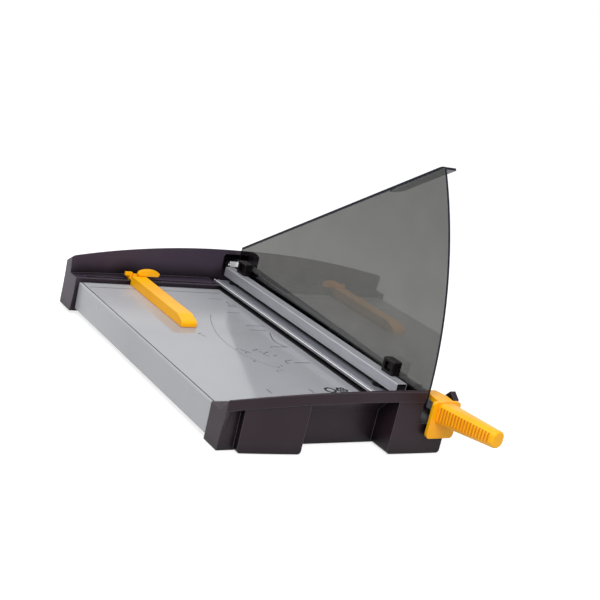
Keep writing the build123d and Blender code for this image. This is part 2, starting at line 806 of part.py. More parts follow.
# Pivot bolt with its nut, thrust washer and dished spring washer
x_head = x_arm_right + thrust_gap + spring_washer_height
with BuildPart() as pivot_bolt:
    rod_x((x_flange - pivot_nut_height - pivot_tail, x_head), y_pivot, z_pivot, pivot_bolt_radius)
    rod_x((x_head, x_head + pivot_head_height), y_pivot, z_pivot, pivot_head_radius)
    hexagon_socket = pivot_bolt_radius / 2
    with BuildSketch(plane_x(x_head + pivot_head_height)):
        with Locations((y_pivot, z_pivot)):
            RegularPolygon(pivot_bolt_radius, 6)
    extrude(amount=-hexagon_socket, mode=Mode.SUBTRACT)
finish_part(pivot_bolt.part, "pivot_bolt")

with BuildPart() as pivot_nut:
    with BuildSketch(plane_x(x_flange - pivot_nut_height)):
        with Locations((y_pivot, z_pivot)):
            RegularPolygon(pivot_nut_radius, 6)
            Circle(pivot_bolt_radius + running_gap, mode=Mode.SUBTRACT)
    extrude(amount=pivot_nut_height)
finish_part(pivot_nut.part, "pivot_nut")

with BuildPart() as pivot_washers:
    rod_x((x_cut, x_arm - thrust_gap), y_pivot, z_pivot, washer_radius)
    cone_x((x_arm_right + thrust_gap, x_head), y_pivot, z_pivot, washer_radius,
           washer_radius - spring_washer_height)
    rod_x((x_cut - overrun, x_head + overrun), y_pivot, z_pivot, pivot_bolt_radius + running_gap,
          mode=Mode.SUBTRACT)
finish_part(pivot_washers.part, "pivot_washers")

# Flanged cups in the bed that hold the clamp springs and guide the posts
with BuildPart() as spring_cups:
    for y in post_places:
        rod_z(x_post, y, (z_bed, z_paper), cup_flange_radius)
        rod_z(x_post, y, (z_cup, z_bed), cup_radius)
        rod_z(x_post, y, (z_cup + cup_floor, z_paper + overrun), cup_radius - cup_wall,
              mode=Mode.SUBTRACT)
        rod_z(x_post, y, (z_cup - overrun, z_cup + overrun), post_radius + running_gap,
              mode=Mode.SUBTRACT)
finish_part(spring_cups.part, "spring_cups")

# Blade arm: an inclined bar with a round hub, a pocketed side and a tang for the handle
arm_run = y_pivot - y_arm
arm_length = sqrt(arm_run**2 + arm_drop**2)
arm_plane = Plane(origin=(0, y_pivot, z_pivot), x_dir=(0, -arm_run, -arm_drop), z_dir=(-1, 0, 0))
blade_span = y_rear + upper_blade_tail - (y_bed - upper_blade_lead)
upper_screw_places = [y_bed - upper_blade_lead + share * blade_span for share in upper_screw_shares]
arm_fall = arm_drop / arm_run


def arm_z(y):
    """Height of the arm's middle line."""
    return z_pivot - arm_fall * (y_pivot - y)


with BuildPart() as arm_bar:
    with BuildSketch(arm_plane.offset(-x_arm_right)):
        Circle(arm_height / 2)
        Rectangle(arm_length, arm_height, align=(Align.MIN, Align.CENTER))
    extrude(amount=arm_width)
    long_edges = arm_bar.faces().sort_by(Axis.X)[-1].edges()
    fillet(long_edges, radius=arm_edge)
    with BuildSketch(arm_plane.offset(-x_arm_right)) as pocket:
        with Locations((arm_pocket_rear, 0)):
            Rectangle(arm_length - arm_pocket_rear - arm_pocket_front, arm_height - 2 * arm_pocket_margin,
                      align=(Align.MIN, Align.CENTER))
        fillet(pocket.vertices(), radius=arm_pocket_margin)
    extrude(amount=arm_pocket_depth, mode=Mode.SUBTRACT)
    with BuildSketch(arm_plane.offset(-x_arm_mid - tang_thickness / 2)):
        with Locations((arm_length - overrun, 0)):
            Rectangle(tang_length + overrun, tang_height, align=(Align.MIN, Align.CENTER))
    extrude(amount=tang_thickness)
    rod_x((x_arm - overrun, x_arm_right + overrun), y_pivot, z_pivot,
          pivot_bolt_radius + bush_wall, mode=Mode.SUBTRACT)
    for y in upper_screw_places:
        rod_x((x_arm - overrun, x_blade + blade_screw_grip), y, arm_z(y), blade_screw_radius + seat_gap,
              mode=Mode.SUBTRACT)
    for share in handle_screw_shares:
        y = y_arm - share * tang_length
        rod_x((x_arm, x_arm_right), y, arm_z(y), handle_screw_radius + seat_gap, mode=Mode.SUBTRACT)
finish_part(arm_bar.part, "arm_bar")

with BuildPart() as pivot_bush:
    rod_x((x_arm, x_arm_right), y_pivot, z_pivot, pivot_bolt_radius + bush_wall - running_gap)
    rod_x((x_arm - overrun, x_arm_right + overrun), y_pivot, z_pivot, pivot_bolt_radius + running_gap,
          mode=Mode.SUBTRACT)
finish_part(pivot_bush.part, "pivot_bush")

# Upper blade: straight back, curved cutting edge, bevelled on the outside
y_blade_rear = y_rear + upper_blade_tail
y_blade_front = y_bed - upper_blade_lead
y_blade_mid = (y_blade_rear + y_blade_front) / 2
blade_back = arm_height / 2 - upper_blade_top_drop
with BuildPart() as upper_blade:
    with BuildSketch(plane_x(x_blade)):
        with BuildLine():
            edge = ThreePointArc((y_blade_rear, z_bed - upper_blade_rear_cut),
                                 (y_blade_mid, z_bed - upper_blade_middle_cut),
                                 (y_blade_front, z_bed - upper_blade_front_cut))
            Polyline(edge @ 1, (y_blade_front, arm_z(y_blade_front) + blade_back),
                     (y_blade_rear, arm_z(y_blade_rear) + blade_back), edge @ 0)
        make_face()
    extrude(amount=upper_blade_thickness)
    for y in upper_screw_places:
        rod_x((x_blade - overrun, x_arm + overrun), y, arm_z(y), blade_screw_radius + seat_gap,
              mode=Mode.SUBTRACT)
        cone_x((x_blade, x_blade + blade_screw_head_depth), y, arm_z(y),
               blade_screw_head_radius + seat_gap, blade_screw_radius + seat_gap, mode=Mode.SUBTRACT)
finish_part(upper_blade.part, "upper_blade")

with BuildPart() as upper_blade_screws:
    for y in upper_screw_places:
        cone_x((x_blade, x_blade + blade_screw_head_depth), y, arm_z(y),
               blade_screw_head_radius, blade_screw_radius)
        rod_x((x_blade + blade_screw_head_depth, x_blade + blade_screw_grip), y, arm_z(y),
              blade_screw_radius)
finish_part(upper_blade_screws.part, "upper_blade_screws")

# Handle: neck over the tang, hand plate, and a tapered grip with ribbed sides
y_neck = y_bed - neck_start
y_plate_front = y_bed - hand_plate_front
grip_length = y_plate_front - y_handle
x_hand = x_cut - hand_plate_left
x_hand_right = x_right - hand_plate_right_inset


def grip_size(share, root, end):
    """Size of the grip at a share of its length."""
    return root + share * (end - root)


with BuildPart() as handle:
    for share in (0, 1):
        with BuildSketch(plane_y(y_plate_front - share * grip_length)):
            with Locations((x_arm_mid, z_bed + grip_size(share, grip_root_rise, grip_end_rise))):
                RectangleRounded(grip_size(share, grip_root_width, grip_end_width),
                                 grip_size(share, grip_root_height, grip_end_height),
                                 grip_size(share, grip_root_corner, grip_end_corner))
    loft()
    fillet(handle.faces().sort_by(Axis.Y)[0].edges(), radius=grip_end_round)
    with BuildSketch(plane_y(y_plate_front + hand_plate_thickness)):
        with Locations(((x_hand + x_hand_right) / 2, z_bed + (hand_plate_top - hand_plate_drop) / 2)):
            RectangleRounded(x_hand_right - x_hand, hand_plate_top + hand_plate_drop, hand_plate_corner)
    extrude(amount=hand_plate_thickness)
    with BuildSketch(plane_x(x_arm_mid - neck_width / 2)):
        with BuildLine():
            y_root = y_plate_front + hand_plate_thickness / 2
            Polyline((y_neck, z_bed + neck_top - neck_tip), (y_neck, z_bed + neck_top),
                     (y_root, z_bed + hand_plate_top), (y_root, z_bed + neck_foot), close=True)
        make_face()
    extrude(amount=neck_width)
    with BuildSketch(plane_z(z_bed)):
        with BuildLine():
            x_neck_right = x_arm_mid + neck_width / 2
            Polyline((x_neck_right - neck_taper_width, y_neck), (x_neck_right, y_neck),
                     (x_neck_right, y_neck - neck_taper_length), close=True)
        make_face()
    extrude(amount=neck_top, mode=Mode.SUBTRACT)
    # Grooves that leave the ribs standing on both sides of the grip
    for rib in range(grip_rib_count):
        y = y_plate_front - (rib + 1) * grip_rib_pitch
        share = (rib + 1) * grip_rib_pitch / grip_length
        half = grip_size(share, grip_root_width, grip_end_width) / 2
        z_grip = z_bed + grip_size(share, grip_root_rise, grip_end_rise)
        z_groove_top = z_grip + grip_size(share, grip_root_height, grip_end_height) / 2 - grip_groove_top_drop
        z_groove_low = z_grip - grip_size(share, grip_root_height, grip_end_height) / 2 - overrun
        groove = (y - grip_groove_width / 2, y + grip_groove_width / 2)
        block((x_arm_mid - half - overrun, x_arm_mid - half + grip_groove_depth), groove,
              (z_groove_low, z_groove_top), mode=Mode.SUBTRACT)
        block((x_arm_mid + half - grip_groove_depth, x_arm_mid + half + overrun), groove,
              (z_groove_low, z_groove_top), mode=Mode.SUBTRACT)
    with BuildSketch(arm_plane.offset(-x_arm_mid - tang_thickness / 2 - seat_gap)):
        with Locations((arm_length, 0)):
            Rectangle(tang_length + seat_gap, tang_height + 2 * seat_gap,
                      align=(Align.MIN, Align.CENTER))
    extrude(amount=tang_thickness + 2 * seat_gap, mode=Mode.SUBTRACT)
    with BuildSketch(arm_plane.offset(-x_right)):
        with Locations((arm_length, 0)):
            Rectangle(2 * arm_lead, 2 * arm_height, align=(Align.MAX, Align.CENTER))
    extrude(amount=x_right - x_slot, mode=Mode.SUBTRACT)
    for share in handle_screw_shares:
        y = y_arm - share * tang_length
        rod_x((x_arm, x_right), y, arm_z(y), handle_screw_radius + seat_gap, mode=Mode.SUBTRACT)
        rod_x((x_arm_right, x_right), y, arm_z(y), handle_screw_head_radius + seat_gap, mode=Mode.SUBTRACT)
finish_part(handle.part, "handle")

with BuildPart() as handle_screws:
    for share in handle_screw_shares:
        y = y_arm - share * tang_length
        rod_x((x_arm, x_arm_right), y, arm_z(y), handle_screw_radius)
        rod_x((x_arm_right, x_arm_right + handle_screw_head_height), y, arm_z(y), handle_screw_head_radius)
finish_part(handle_screws.part, "handle_screws")

# Clamp plate with an upturned lip and a stiffening rib
y_plate_span = (y_bed - clamp_front, y_rear + clamp_rear)
with BuildPart() as clamp_plate:
    block((x_plate, x_plate_right), y_plate_span, (z_plate, z_plate_top))
    block((x_plate, x_plate + plate_lip_width), y_plate_span, (z_plate_top, z_plate_top + plate_lip_height))
    fillet(clamp_plate.faces().sort_by(Axis.Z)[-1].edges().filter_by(Axis.Y), radius=plate_lip_width / 3)
    x_rib = x_plate + plate_rib_inset
    block((x_rib, x_rib + plate_rib_width), y_plate_span, (z_plate_top, z_plate_top + plate_rib_height))
    for y in post_places:
        rod_z(x_post, y, (z_plate - overrun, z_plate_top + overrun), post_radius + seat_gap,
              mode=Mode.SUBTRACT)
finish_part(clamp_plate.part, "clamp_plate")

# Spacer bushes between the plate and the channel
z_channel_under = z_channel_top - channel_sheet
with BuildPart() as clamp_bushes:
    for y in post_places:
        rod_z(x_post, y, (z_plate_top, z_channel), bush_radius)
        rod_z(x_post, y, (z_channel, z_channel_under), channel_width / 2 - channel_sheet - seat_gap)
        rod_z(x_post, y, (z_plate_top - overrun, z_channel_top), post_radius + seat_gap,
              mode=Mode.SUBTRACT)
finish_part(clamp_bushes.part, "clamp_bushes")

# Channel bar: an inverted U that the hand presses down
with BuildPart() as clamp_channel:
    y_channel_span = (y_bed - channel_front, y_rear + channel_rear)
    block((x_channel, x_channel_right), y_channel_span, (z_channel, z_channel_top))
    fillet(clamp_channel.faces().sort_by(Axis.Z)[-1].edges().filter_by(Axis.Y), radius=channel_edge)
    block((x_channel + channel_sheet, x_channel_right - channel_sheet),
          (y_channel_span[0] - overrun, y_channel_span[1] + overrun),
          (z_channel - overrun, z_channel_under), mode=Mode.SUBTRACT)
finish_part(clamp_channel.part, "clamp_channel")

# Posts that slide in the cups, held by spring clips below them
z_clip_top = z_cup - seat_gap
z_clip = z_clip_top - clip_thickness
with BuildPart() as clamp_posts:
    for y in post_places:
        rod_z(x_post, y, (z_clip_top, z_channel_under), post_radius)
        rod_z(x_post, y, (z_clip, z_clip_top), post_neck_radius)
        rod_z(x_post, y, (z_clip - post_tail, z_clip), post_radius)
finish_part(clamp_posts.part, "clamp_posts")

with BuildPart() as post_clips:
    for y in post_places:
        rod_z(x_post, y, (z_clip, z_clip_top), clip_radius)
        rod_z(x_post, y, (z_clip - overrun, z_clip + overrun), post_neck_radius + running_gap,
              mode=Mode.SUBTRACT)
        block((x_post, x_post + clip_radius + overrun), (y - clip_slot / 2, y + clip_slot / 2),
              (z_clip - overrun, z_clip + overrun), mode=Mode.SUBTRACT)
finish_part(post_clips.part, "post_clips")

# Coil springs between the cup floors and the plate, one unbroken wire each
z_coil_low = z_cup + cup_floor + spring_wire / 2
z_coil_high = z_plate - spring_wire / 2
coil_pitch = (z_coil_high - z_coil_low) / spring_turns
quarter_count = 4 * spring_turns


def coil_point(turn, y):
    """Point and direction of the coil's middle line after some turns."""
    angle = 2 * pi * turn
    place = Vector(x_post + spring_radius * cos(angle), y + spring_radius * sin(angle),
                   z_coil_low + coil_pitch * turn)
    heading = Vector(-2 * pi * spring_radius * sin(angle), 2 * pi * spring_radius * cos(angle), coil_pitch)
    return place, heading.normalized()


def biarc_joint(first, first_heading, last, last_heading):
    """Meeting point of two arcs that leave and arrive along the given headings."""
    chord = last - first
    both = first_heading + last_heading
    spread = 2 * (1 - first_heading.dot(last_heading))
    along = chord.dot(both)
    reach = (sqrt(along**2 + spread * chord.dot(chord)) - along) / spread
    return (first + last + (first_heading - last_heading) * reach) / 2


with BuildPart() as clamp_springs:
    for y in post_places:
        with BuildLine() as coil:
            for quarter in range(quarter_count):
                first, first_heading = coil_point(quarter / 4, y)
                last, last_heading = coil_point((quarter + 1) / 4, y)
                joint = biarc_joint(first, first_heading, last, last_heading)
                lead = TangentArc(first, joint, tangent=first_heading)
                TangentArc(joint, last, tangent=lead % 1)
        with BuildSketch(Plane(origin=coil.line @ 0, z_dir=coil.line % 0)):
            Circle(spring_wire / 2)
        sweep(path=coil.line)
coil_gap = coil_pitch * cos(atan2(coil_pitch, 2 * pi * spring_radius)) - spring_wire
print(f"least gap between the turns of a clamp spring: {coil_gap:.2f} mm")
finish_part(clamp_springs.part, "clamp_springs")

# Guard: rises at a slope to an arc about the pivot, with a lip bent over the blade
z_guard = z_plate_top + guard_foot
y_guard_rear = y_rear + guard_rear
z_shoulder = z_bed + guard_shoulder
slope = Vector(0, -cos(guard_angle * pi / 180), sin(guard_angle * pi / 180))
shoulder = Vector(0, y_guard_rear, z_shoulder)
to_shoulder = shoulder - Vector(0, y_pivot, z_pivot)
along_slope = to_shoulder.dot(slope)
slope_length = sqrt(along_slope**2 + guard_radius**2 - to_shoulder.dot(to_shoulder)) - along_slope
guard_tip = shoulder + slope * slope_length


def guard_arc_point(angle):
    """Point of the guard's front edge, on an arc about the pivot."""
    return (y_pivot - guard_radius * cos(angle), z_pivot + guard_radius * sin(angle))


tip_angle = atan2(guard_tip.Z - z_pivot, y_pivot - guard_tip.Y)
foot_angle = asin((z_guard - z_pivot) / guard_radius)
lip_plane = Plane(origin=(x_guard, guard_tip.Y, guard_tip.Z), x_dir=(1, 0, 0),
                  z_dir=Vector(1, 0, 0).cross(-slope))

with BuildPart() as guard_panel:
    with BuildSketch(plane_x(x_guard)):
        with BuildLine():
            front_arc = ThreePointArc(guard_arc_point(foot_angle),
                                      guard_arc_point((foot_angle + tip_angle) / 2),
                                      guard_arc_point(tip_angle))
            Polyline(front_arc @ 1, (y_guard_rear, z_shoulder), (y_guard_rear, z_guard), front_arc @ 0)
        make_face()
    extrude(amount=guard_thickness)
    with BuildSketch(lip_plane) as lip:
        Rectangle(guard_thickness + lip_width, lip_length, align=(Align.MIN, Align.MIN))
        fillet(lip.vertices().sort_by(Axis.X)[-2:].sort_by(Axis.Y)[-1], radius=lip_corner)
    extrude(amount=-guard_thickness)
    crest = guard_panel.edges().group_by(Axis.X)[0].sort_by(Axis.Z)[-1]
    fillet(crest, radius=bend_radius)
    z_block_mid = z_channel_top + block_height / 2
    for y in block_places:
        rod_x((x_guard - overrun, x_guard_right + overrun), y, z_block_mid,
              guard_screw_radius + seat_gap, mode=Mode.SUBTRACT)
finish_part(guard_panel.part, "guard_panel")

# Blocks on the channel that carry the guard, pocketed for the nuts of its screws
x_block = x_guard - block_width
for y, name in zip(block_places, ("guard_block_front", "guard_block_rear")):
    with BuildPart() as guard_block:
        block((x_block, x_guard), (y - block_length / 2, y + block_length / 2),
              (z_channel_top, z_channel_top + block_height))
        fillet(guard_block.edges().filter_by(Axis.Z), radius=block_edge)
        chamfer(guard_block.faces().sort_by(Axis.Z)[-1].edges(), length=block_edge / 2)
        rod_x((x_block - overrun, x_guard + overrun), y, z_block_mid, guard_screw_radius + seat_gap,
              mode=Mode.SUBTRACT)
        with BuildSketch(plane_x(x_block)):
            with Locations((y, z_block_mid)):
                RectangleRounded(block_pocket_length, block_pocket_height, block_pocket_corner)
        extrude(amount=block_pocket_depth, mode=Mode.SUBTRACT)
    finish_part(guard_block.part, name)

x_nut = x_block + block_pocket_depth - guard_nut_height
with BuildPart() as guard_screws:
    for y in block_places:
        rod_x((x_guard_right, x_guard_right + guard_screw_head_height), y, z_block_mid,
              guard_screw_head_radius)
        rod_x((x_nut, x_guard_right), y, z_block_mid, guard_screw_radius)
finish_part(guard_screws.part, "guard_screws")

with BuildPart() as guard_nuts:
    for y in block_places:
        with BuildSketch(plane_x(x_nut)):
            with Locations((y, z_block_mid)):
                RegularPolygon(guard_nut_radius, 6)
                Circle(guard_screw_radius + running_gap, mode=Mode.SUBTRACT)
        extrude(amount=guard_nut_height)
finish_part(guard_nuts.part, "guard_nuts")

# Paper guide: a hollow arm over the bed, a head on the ledge and ears for the lever
x_guide = x_bed + guide_left
x_guide_right = x_guide + guide_width
y_guide = y_rear - slide_gap
y_nose = y_guide - guide_reach
z_guide = z_bed + slide_gap
z_guide_top = z_bed + guide_height
z_head = z_ledge + slide_gap
y_head = y_rear + guide_head_depth
y_pin = y_rear + guide_pin_back
z_pin = z_bed + guide_pin_rise
ear_spans = ((x_guide, x_guide + guide_ear_width), (x_guide_right - guide_ear_width, x_guide_right))

with BuildPart() as guide_arm:
    with BuildSketch(plane_x(x_guide)):
        with BuildLine():
            nose = Spline((y_nose, z_bed + guide_nose_height),
                          (y_nose + guide_nose_run, z_bed + guide_nose_rise),
                          (y_nose + guide_nose_end, z_guide_top),
                          tangents=((0, 1), (1, 0)))
            Polyline(nose @ 1, (y_guide, z_guide_top), (y_guide, z_guide), (y_nose, z_guide), nose @ 0)
        make_face()
    extrude(amount=guide_width)
    block((x_guide + guide_wall, x_guide_right - guide_wall),
          (y_nose + guide_nose_end, y_guide - guide_wall),
          (z_guide - overrun, z_guide_top - guide_wall), mode=Mode.SUBTRACT)
    block((x_guide, x_guide_right), (y_guide - guide_wall, y_head), (z_head, z_head + guide_head_thickness))
    y_tongue = y_rear + groove_start + guide_tongue_gap
    block((x_guide, x_guide_right), (y_tongue, y_tongue + groove_width - 2 * guide_tongue_gap),
          (z_ledge - groove_depth + guide_tongue_gap, z_head))
    for span in ear_spans:
        rod_x(span, y_pin, z_pin, guide_ear_radius)
        block(span, (y_pin - guide_ear_radius, y_pin + guide_ear_radius), (z_head, z_pin))
    block((x_guide - guide_hook_reach, x_guide + guide_ear_width),
          (y_pin - guide_ear_radius, y_pin + guide_ear_radius / 2),
          (z_pin, z_pin + guide_hook_height))
    rod_x((x_guide - overrun, x_guide_right + overrun), y_pin, z_pin, guide_pin_radius + running_gap,
          mode=Mode.SUBTRACT)
finish_part(guide_arm.part, "guide_arm")

with BuildPart() as guide_pin:
    rod_x((x_guide, x_guide_right), y_pin, z_pin, guide_pin_radius)
finish_part(guide_pin.part, "guide_pin")

# Thumb lever: an oval tab in front of the pin, on a barrel between the ears
x_lever = x_guide + lever_shift
y_lever = y_pin - lever_reach
barrel_span = (ear_spans[0][1] + slide_gap, ear_spans[1][0] - slide_gap)
with BuildPart() as guide_lever:
    rod_x(barrel_span, y_pin, z_pin, guide_ear_radius)
    block(barrel_span, (y_lever - lever_thickness / 2, y_pin), (z_pin, z_pin + guide_ear_radius))
    with BuildSketch(plane_y(y_lever)):
        with Locations((x_lever, z_bed + lever_rise)):
            Ellipse(lever_half_width, lever_half_height)
            with Locations((0, -lever_flat_drop)):
                Rectangle(2 * lever_half_width, lever_half_height, align=(Align.CENTER, Align.MAX),
                          mode=Mode.SUBTRACT)
    extrude(amount=lever_thickness)
    rod_x((x_guide - overrun, x_guide_right + overrun), y_pin, z_pin, guide_pin_radius + running_gap,
          mode=Mode.SUBTRACT)
finish_part(guide_lever.part, "guide_lever")
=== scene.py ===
"""Looks of the guillotine paper cutter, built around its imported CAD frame.

Run as a script in Blender: it registers its classes, finishes the CAD pieces, prints the bed,
winds the clamp's springs, edges the guard, sets the stage and leaves a camera at the
photograph's angle.
"""

import bmesh
import bpy
import numpy as np
from bpy.props import (FloatProperty, FloatVectorProperty, IntProperty, PointerProperty,
                       StringProperty)
from mathutils import Matrix, Vector


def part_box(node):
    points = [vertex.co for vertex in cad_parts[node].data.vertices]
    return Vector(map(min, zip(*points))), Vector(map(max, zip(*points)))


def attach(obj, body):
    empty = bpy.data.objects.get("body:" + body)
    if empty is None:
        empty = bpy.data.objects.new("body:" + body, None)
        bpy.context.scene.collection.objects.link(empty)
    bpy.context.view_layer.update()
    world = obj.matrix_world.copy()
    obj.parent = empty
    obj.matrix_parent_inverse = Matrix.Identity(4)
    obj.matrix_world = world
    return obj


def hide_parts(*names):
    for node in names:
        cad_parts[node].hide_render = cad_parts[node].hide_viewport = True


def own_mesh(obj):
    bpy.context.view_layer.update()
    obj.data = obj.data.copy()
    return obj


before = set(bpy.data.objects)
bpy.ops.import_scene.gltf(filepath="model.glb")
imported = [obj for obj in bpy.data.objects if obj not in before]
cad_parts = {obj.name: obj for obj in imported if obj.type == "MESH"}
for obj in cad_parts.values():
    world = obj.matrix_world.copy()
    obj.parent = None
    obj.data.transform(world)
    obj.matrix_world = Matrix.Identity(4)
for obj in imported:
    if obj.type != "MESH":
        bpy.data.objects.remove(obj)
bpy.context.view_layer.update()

bl_info = {
    "name": "Paper Cutter Looks",
    "version": (1, 0, 0),
    "blender": (4, 5, 0),
    "location": "View3D > Sidebar > Paper Cutter",
    "description": "Finishes, printed bed guides and studio for the guillotine paper cutter",
    "category": "Object",
}

MM = 0.001
BED_LOW, BED_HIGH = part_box("bed_plate")

# Print on the bed, in millimetres from its left fold and front edge. Arcs and strokes are runs of
# points, cross marks are (from x, to x, y), and length ticks are (x, from y, to y).
LONG_ARC = [(148.6, 288.1), (134.0, 259.2), (123.6, 231.7), (118.7, 208.1), (116.0, 180.2),
            (116.2, 155.7), (119.5, 139.1), (124.9, 122.9), (133.8, 109.2), (145.4, 100.2)]
SHORT_ARC = [(206.0, 221.8), (198.7, 205.4), (195.1, 189.6), (196.3, 178.4), (204.6, 169.7)]
CROSS_MARKS = [(180.0, 201.0, 298.5), (183.0, 212.0, 247.6), (177.0, 205.0, 230.8),
               (181.0, 201.8, 170.4), (181.0, 205.0, 116.0), (181.0, 204.0, 355.6),
               (8.0, 214.0, 382.0)]
LENGTH_TICKS = [(90.5, 20.0, 32.0), (150.5, 21.0, 32.0), (198.0, 322.0, 330.0),
                (203.0, 322.0, 346.0), (208.0, 322.0, 334.0)]
STROKES = [[(163.0, 152.1), (150.6, 144.7), (154.7, 135.5)],
           [(181.9, 124.6), (169.6, 121.1), (169.0, 111.3)],
           [(141.2, 155.0), (151.3, 160.5)], [(148.8, 152.8), (151.5, 149.1)],
           [(162.5, 138.2), (168.2, 140.3)], [(147.2, 102.6), (147.6, 97.8)],
           [(154.7, 107.4), (155.1, 102.6)], [(139.3, 91.6), (139.0, 85.7)],
           [(145.3, 91.7), (146.5, 88.2)], [(89.8, 210.1), (95.2, 214.4)],
           [(92.9, 207.7), (96.2, 201.3)], [(117.9, 158.5), (122.6, 160.4)],
           [(124.1, 158.0), (133.2, 147.1)], [(174.5, 167.9), (179.6, 170.1)]]
DOTS = [(122.8, 119.2), (126.5, 147.0)]
RING_SIGN = (179.7, 29.3)
LOBED_SIGN = (197.0, 29.0)

# Section of the guard's edging, in millimetres right of the guard's left face and out from its
# top edge
EDGING = [(-0.6, -1.4), (-0.05, -1.4), (-0.05, 0.03), (3.5, 0.03), (3.5, 1.2), (3.2, 1.8),
          (2.6, 2.1), (0.3, 2.1), (-0.3, 1.8), (-0.6, 1.2)]

WHITE = "#FFFFFF"
# Limits of a share, and limits that hold most of a noise
SHARE = (0.0, 1.0)
NOISE = (0.3, 0.7)
# Product of the rounded and the true normal, on a face and on a square edge
EDGES = (0.99, 0.72)
# Rays that round an edge or look out of a recess
RAYS = {"samples": 6}
# Scale of a pattern along its run, which makes its streaks 50 times as long as wide
DRAWN = 0.02


def linear(text):
    """Linear colour, with alpha 1, of an sRGB hex value: each share v is ((v + 0.055) / 1.055) to
    the power 2.4."""
    shares = np.array([int(text[i:i + 2], 16) for i in (1, 3, 5)]) / 255
    curved = np.where(shares <= 0.04045, shares / 12.92, ((shares + 0.055) / 1.055) ** 2.4)
    return (*(float(v) for v in curved), 1.0)


def add_node(tree, kind, settings=None, **inputs):
    """Add a node of a kind, set its settings, and set or link each input, named or by index as in
    i0. A hex value is made linear."""
    node = tree.nodes.new(kind)
    for name, value in (settings or {}).items():
        setattr(node, name, value)
    for name, value in inputs.items():
        key = int(name[1:]) if name[0] == "i" and name[1:].isdigit() else name.replace("_", " ")
        socket = node.inputs[key]
        if isinstance(value, bpy.types.NodeSocket):
            tree.links.new(value, socket)
        else:
            socket.default_value = linear(value) if isinstance(value, str) else value
    return node


def new_material(name):
    """An empty node material, as the pair of material and tree."""
    material = bpy.data.materials.new(name)
    material.use_nodes = True
    material.node_tree.nodes.clear()
    return material, material.node_tree


def close_material(tree, **inputs):
    """Close a material with a surface of these inputs."""
    shader = add_node(tree, "ShaderNodeBsdfPrincipled", **inputs)
    add_node(tree, "ShaderNodeOutputMaterial", Surface=shader.outputs[0])


def axes(tree, source, output):
    """X, Y and Z of the vector that a source node puts out."""
    vector = add_node(tree, source).outputs[output]
    return add_node(tree, "ShaderNodeSeparateXYZ", Vector=vector).outputs


def speckle(tree, size_mm, detail=2.0, stretch=(1, 1, 1)):
    """Noise on Object coordinates whose grains are about size_mm across, drawn out by stretch."""
    place = add_node(tree, "ShaderNodeTexCoord").outputs["Object"]
    scale = tuple(s / (size_mm * MM) for s in stretch)
    mapped = add_node(tree, "ShaderNodeMapping", Vector=place, Scale=scale).outputs[0]
    return add_node(tree, "ShaderNodeTexNoise", Vector=mapped, Scale=1.0, Detail=detail).outputs[0]


def spread(tree, *ranges):
    """Product of factors. Each is a value, the two limits it runs between and the factor at each
    limit."""
    product = None
    for value, first, last, low, high in ranges:
        ranged = add_node(tree, "ShaderNodeMapRange", i0=value, i1=first, i2=last, i3=low, i4=high)
        factor = ranged.outputs[0]
        product = factor if product is None else add_node(
            tree, "ShaderNodeMath", {"operation": "MULTIPLY"}, i0=product, i1=factor).outputs[0]
    return product


def layered(tree, colour, *layers):
    """A colour under layers. Each layer is a value, the limits at which it shows nothing and all
    of its colour, and that colour, a hex value or a socket."""
    for value, first, last, over in layers:
        share = spread(tree, (value, first, last, *SHARE))
        colour = add_node(tree, "ShaderNodeMix", {"data_type": "RGBA"}, i0=share, i6=colour,
                          i7=over).outputs[2]
    return colour


def soft_skin(tree, pattern, soft_mm, depth_mm, strength):
    """Two normals of a skin: the one with its edges rounded to soft_mm, and the one with the
    pattern's fine relief laid over that."""
    rounded = add_node(tree, "ShaderNodeBevel", RAYS, Radius=soft_mm * MM).outputs[0]
    skin = add_node(tree, "ShaderNodeBump", Strength=strength, Distance=depth_mm * MM,
                    Height=pattern, Normal=rounded).outputs[0]
    return rounded, skin


def painted_edge_highlights(tree, rounded, colour):
    """Layer of a colour on the edges, a painted highlight, by the product of the rounded and the
    true normal.
    """
    true = add_node(tree, "ShaderNodeNewGeometry").outputs["Normal"]
    product = add_node(tree, "ShaderNodeVectorMath", {"operation": "DOT_PRODUCT"}, i0=rounded,
                       i1=true).outputs["Value"]
    return product, *EDGES, colour


def bed_enamel(colours):
    """Silver stoving enamel on sheet steel: fine metal flakes under a smooth gloss that mirrors
    the guard where paper has polished the top, and duller on the skirt and towards the rear left
    where it has not. The colour there is painted paler, as painted light, and the folds are
    painted brighter, as a painted highlight. The flakes are drawn at 0.7 mm to show."""
    material, tree = new_material("silver_stoving_enamel")
    flakes = speckle(tree, size_mm=0.7, detail=1.0)
    clouds = speckle(tree, size_mm=90.0, detail=1.0)
    rounded, skin = soft_skin(tree, flakes, soft_mm=0.8, depth_mm=0.01, strength=0.04)
    place = axes(tree, "ShaderNodeTexCoord", "Object")
    facing = axes(tree, "ShaderNodeNewGeometry", "True Normal")
    middle = (BED_LOW + BED_HIGH) / 2
    rear_left_dull_and_painted_light = spread(tree, (place["Y"], middle.y, BED_HIGH.y, 0.0, 1.0),
                       (place["X"], middle.x, BED_HIGH.x, 1.0, 0.0))
    # Upright faces keep most of the polish, and the rear left corner has none; where the polish
    # fades the colour is painted paler, as painted light
    polished = spread(tree, (facing["Z"], 0.5, 0.9, 0.8, 1.0), (rear_left_dull_and_painted_light, *SHARE, 1.0, 0.0))
    # The brightest flakes show a quarter of their own tone
    glints = spread(tree, (flakes, 0.55, 0.75, 0.0, 0.25))
    cloudy = layered(tree, colours.bed, (clouds, *NOISE, colours.bed_shade))
    close_material(tree, IOR=1.5, Specular_IOR_Level=0.42, Normal=skin,
                   Roughness=spread(tree, (polished, *SHARE, 0.38, 0.1)),
                   Base_Color=layered(tree, colours.bed_painted_light, (polished, *SHARE, cloudy),
                                      (glints, *SHARE, colours.bed_flake),
                                      painted_edge_highlights(tree, rounded, colours.bed_edge_highlight)))
    return material


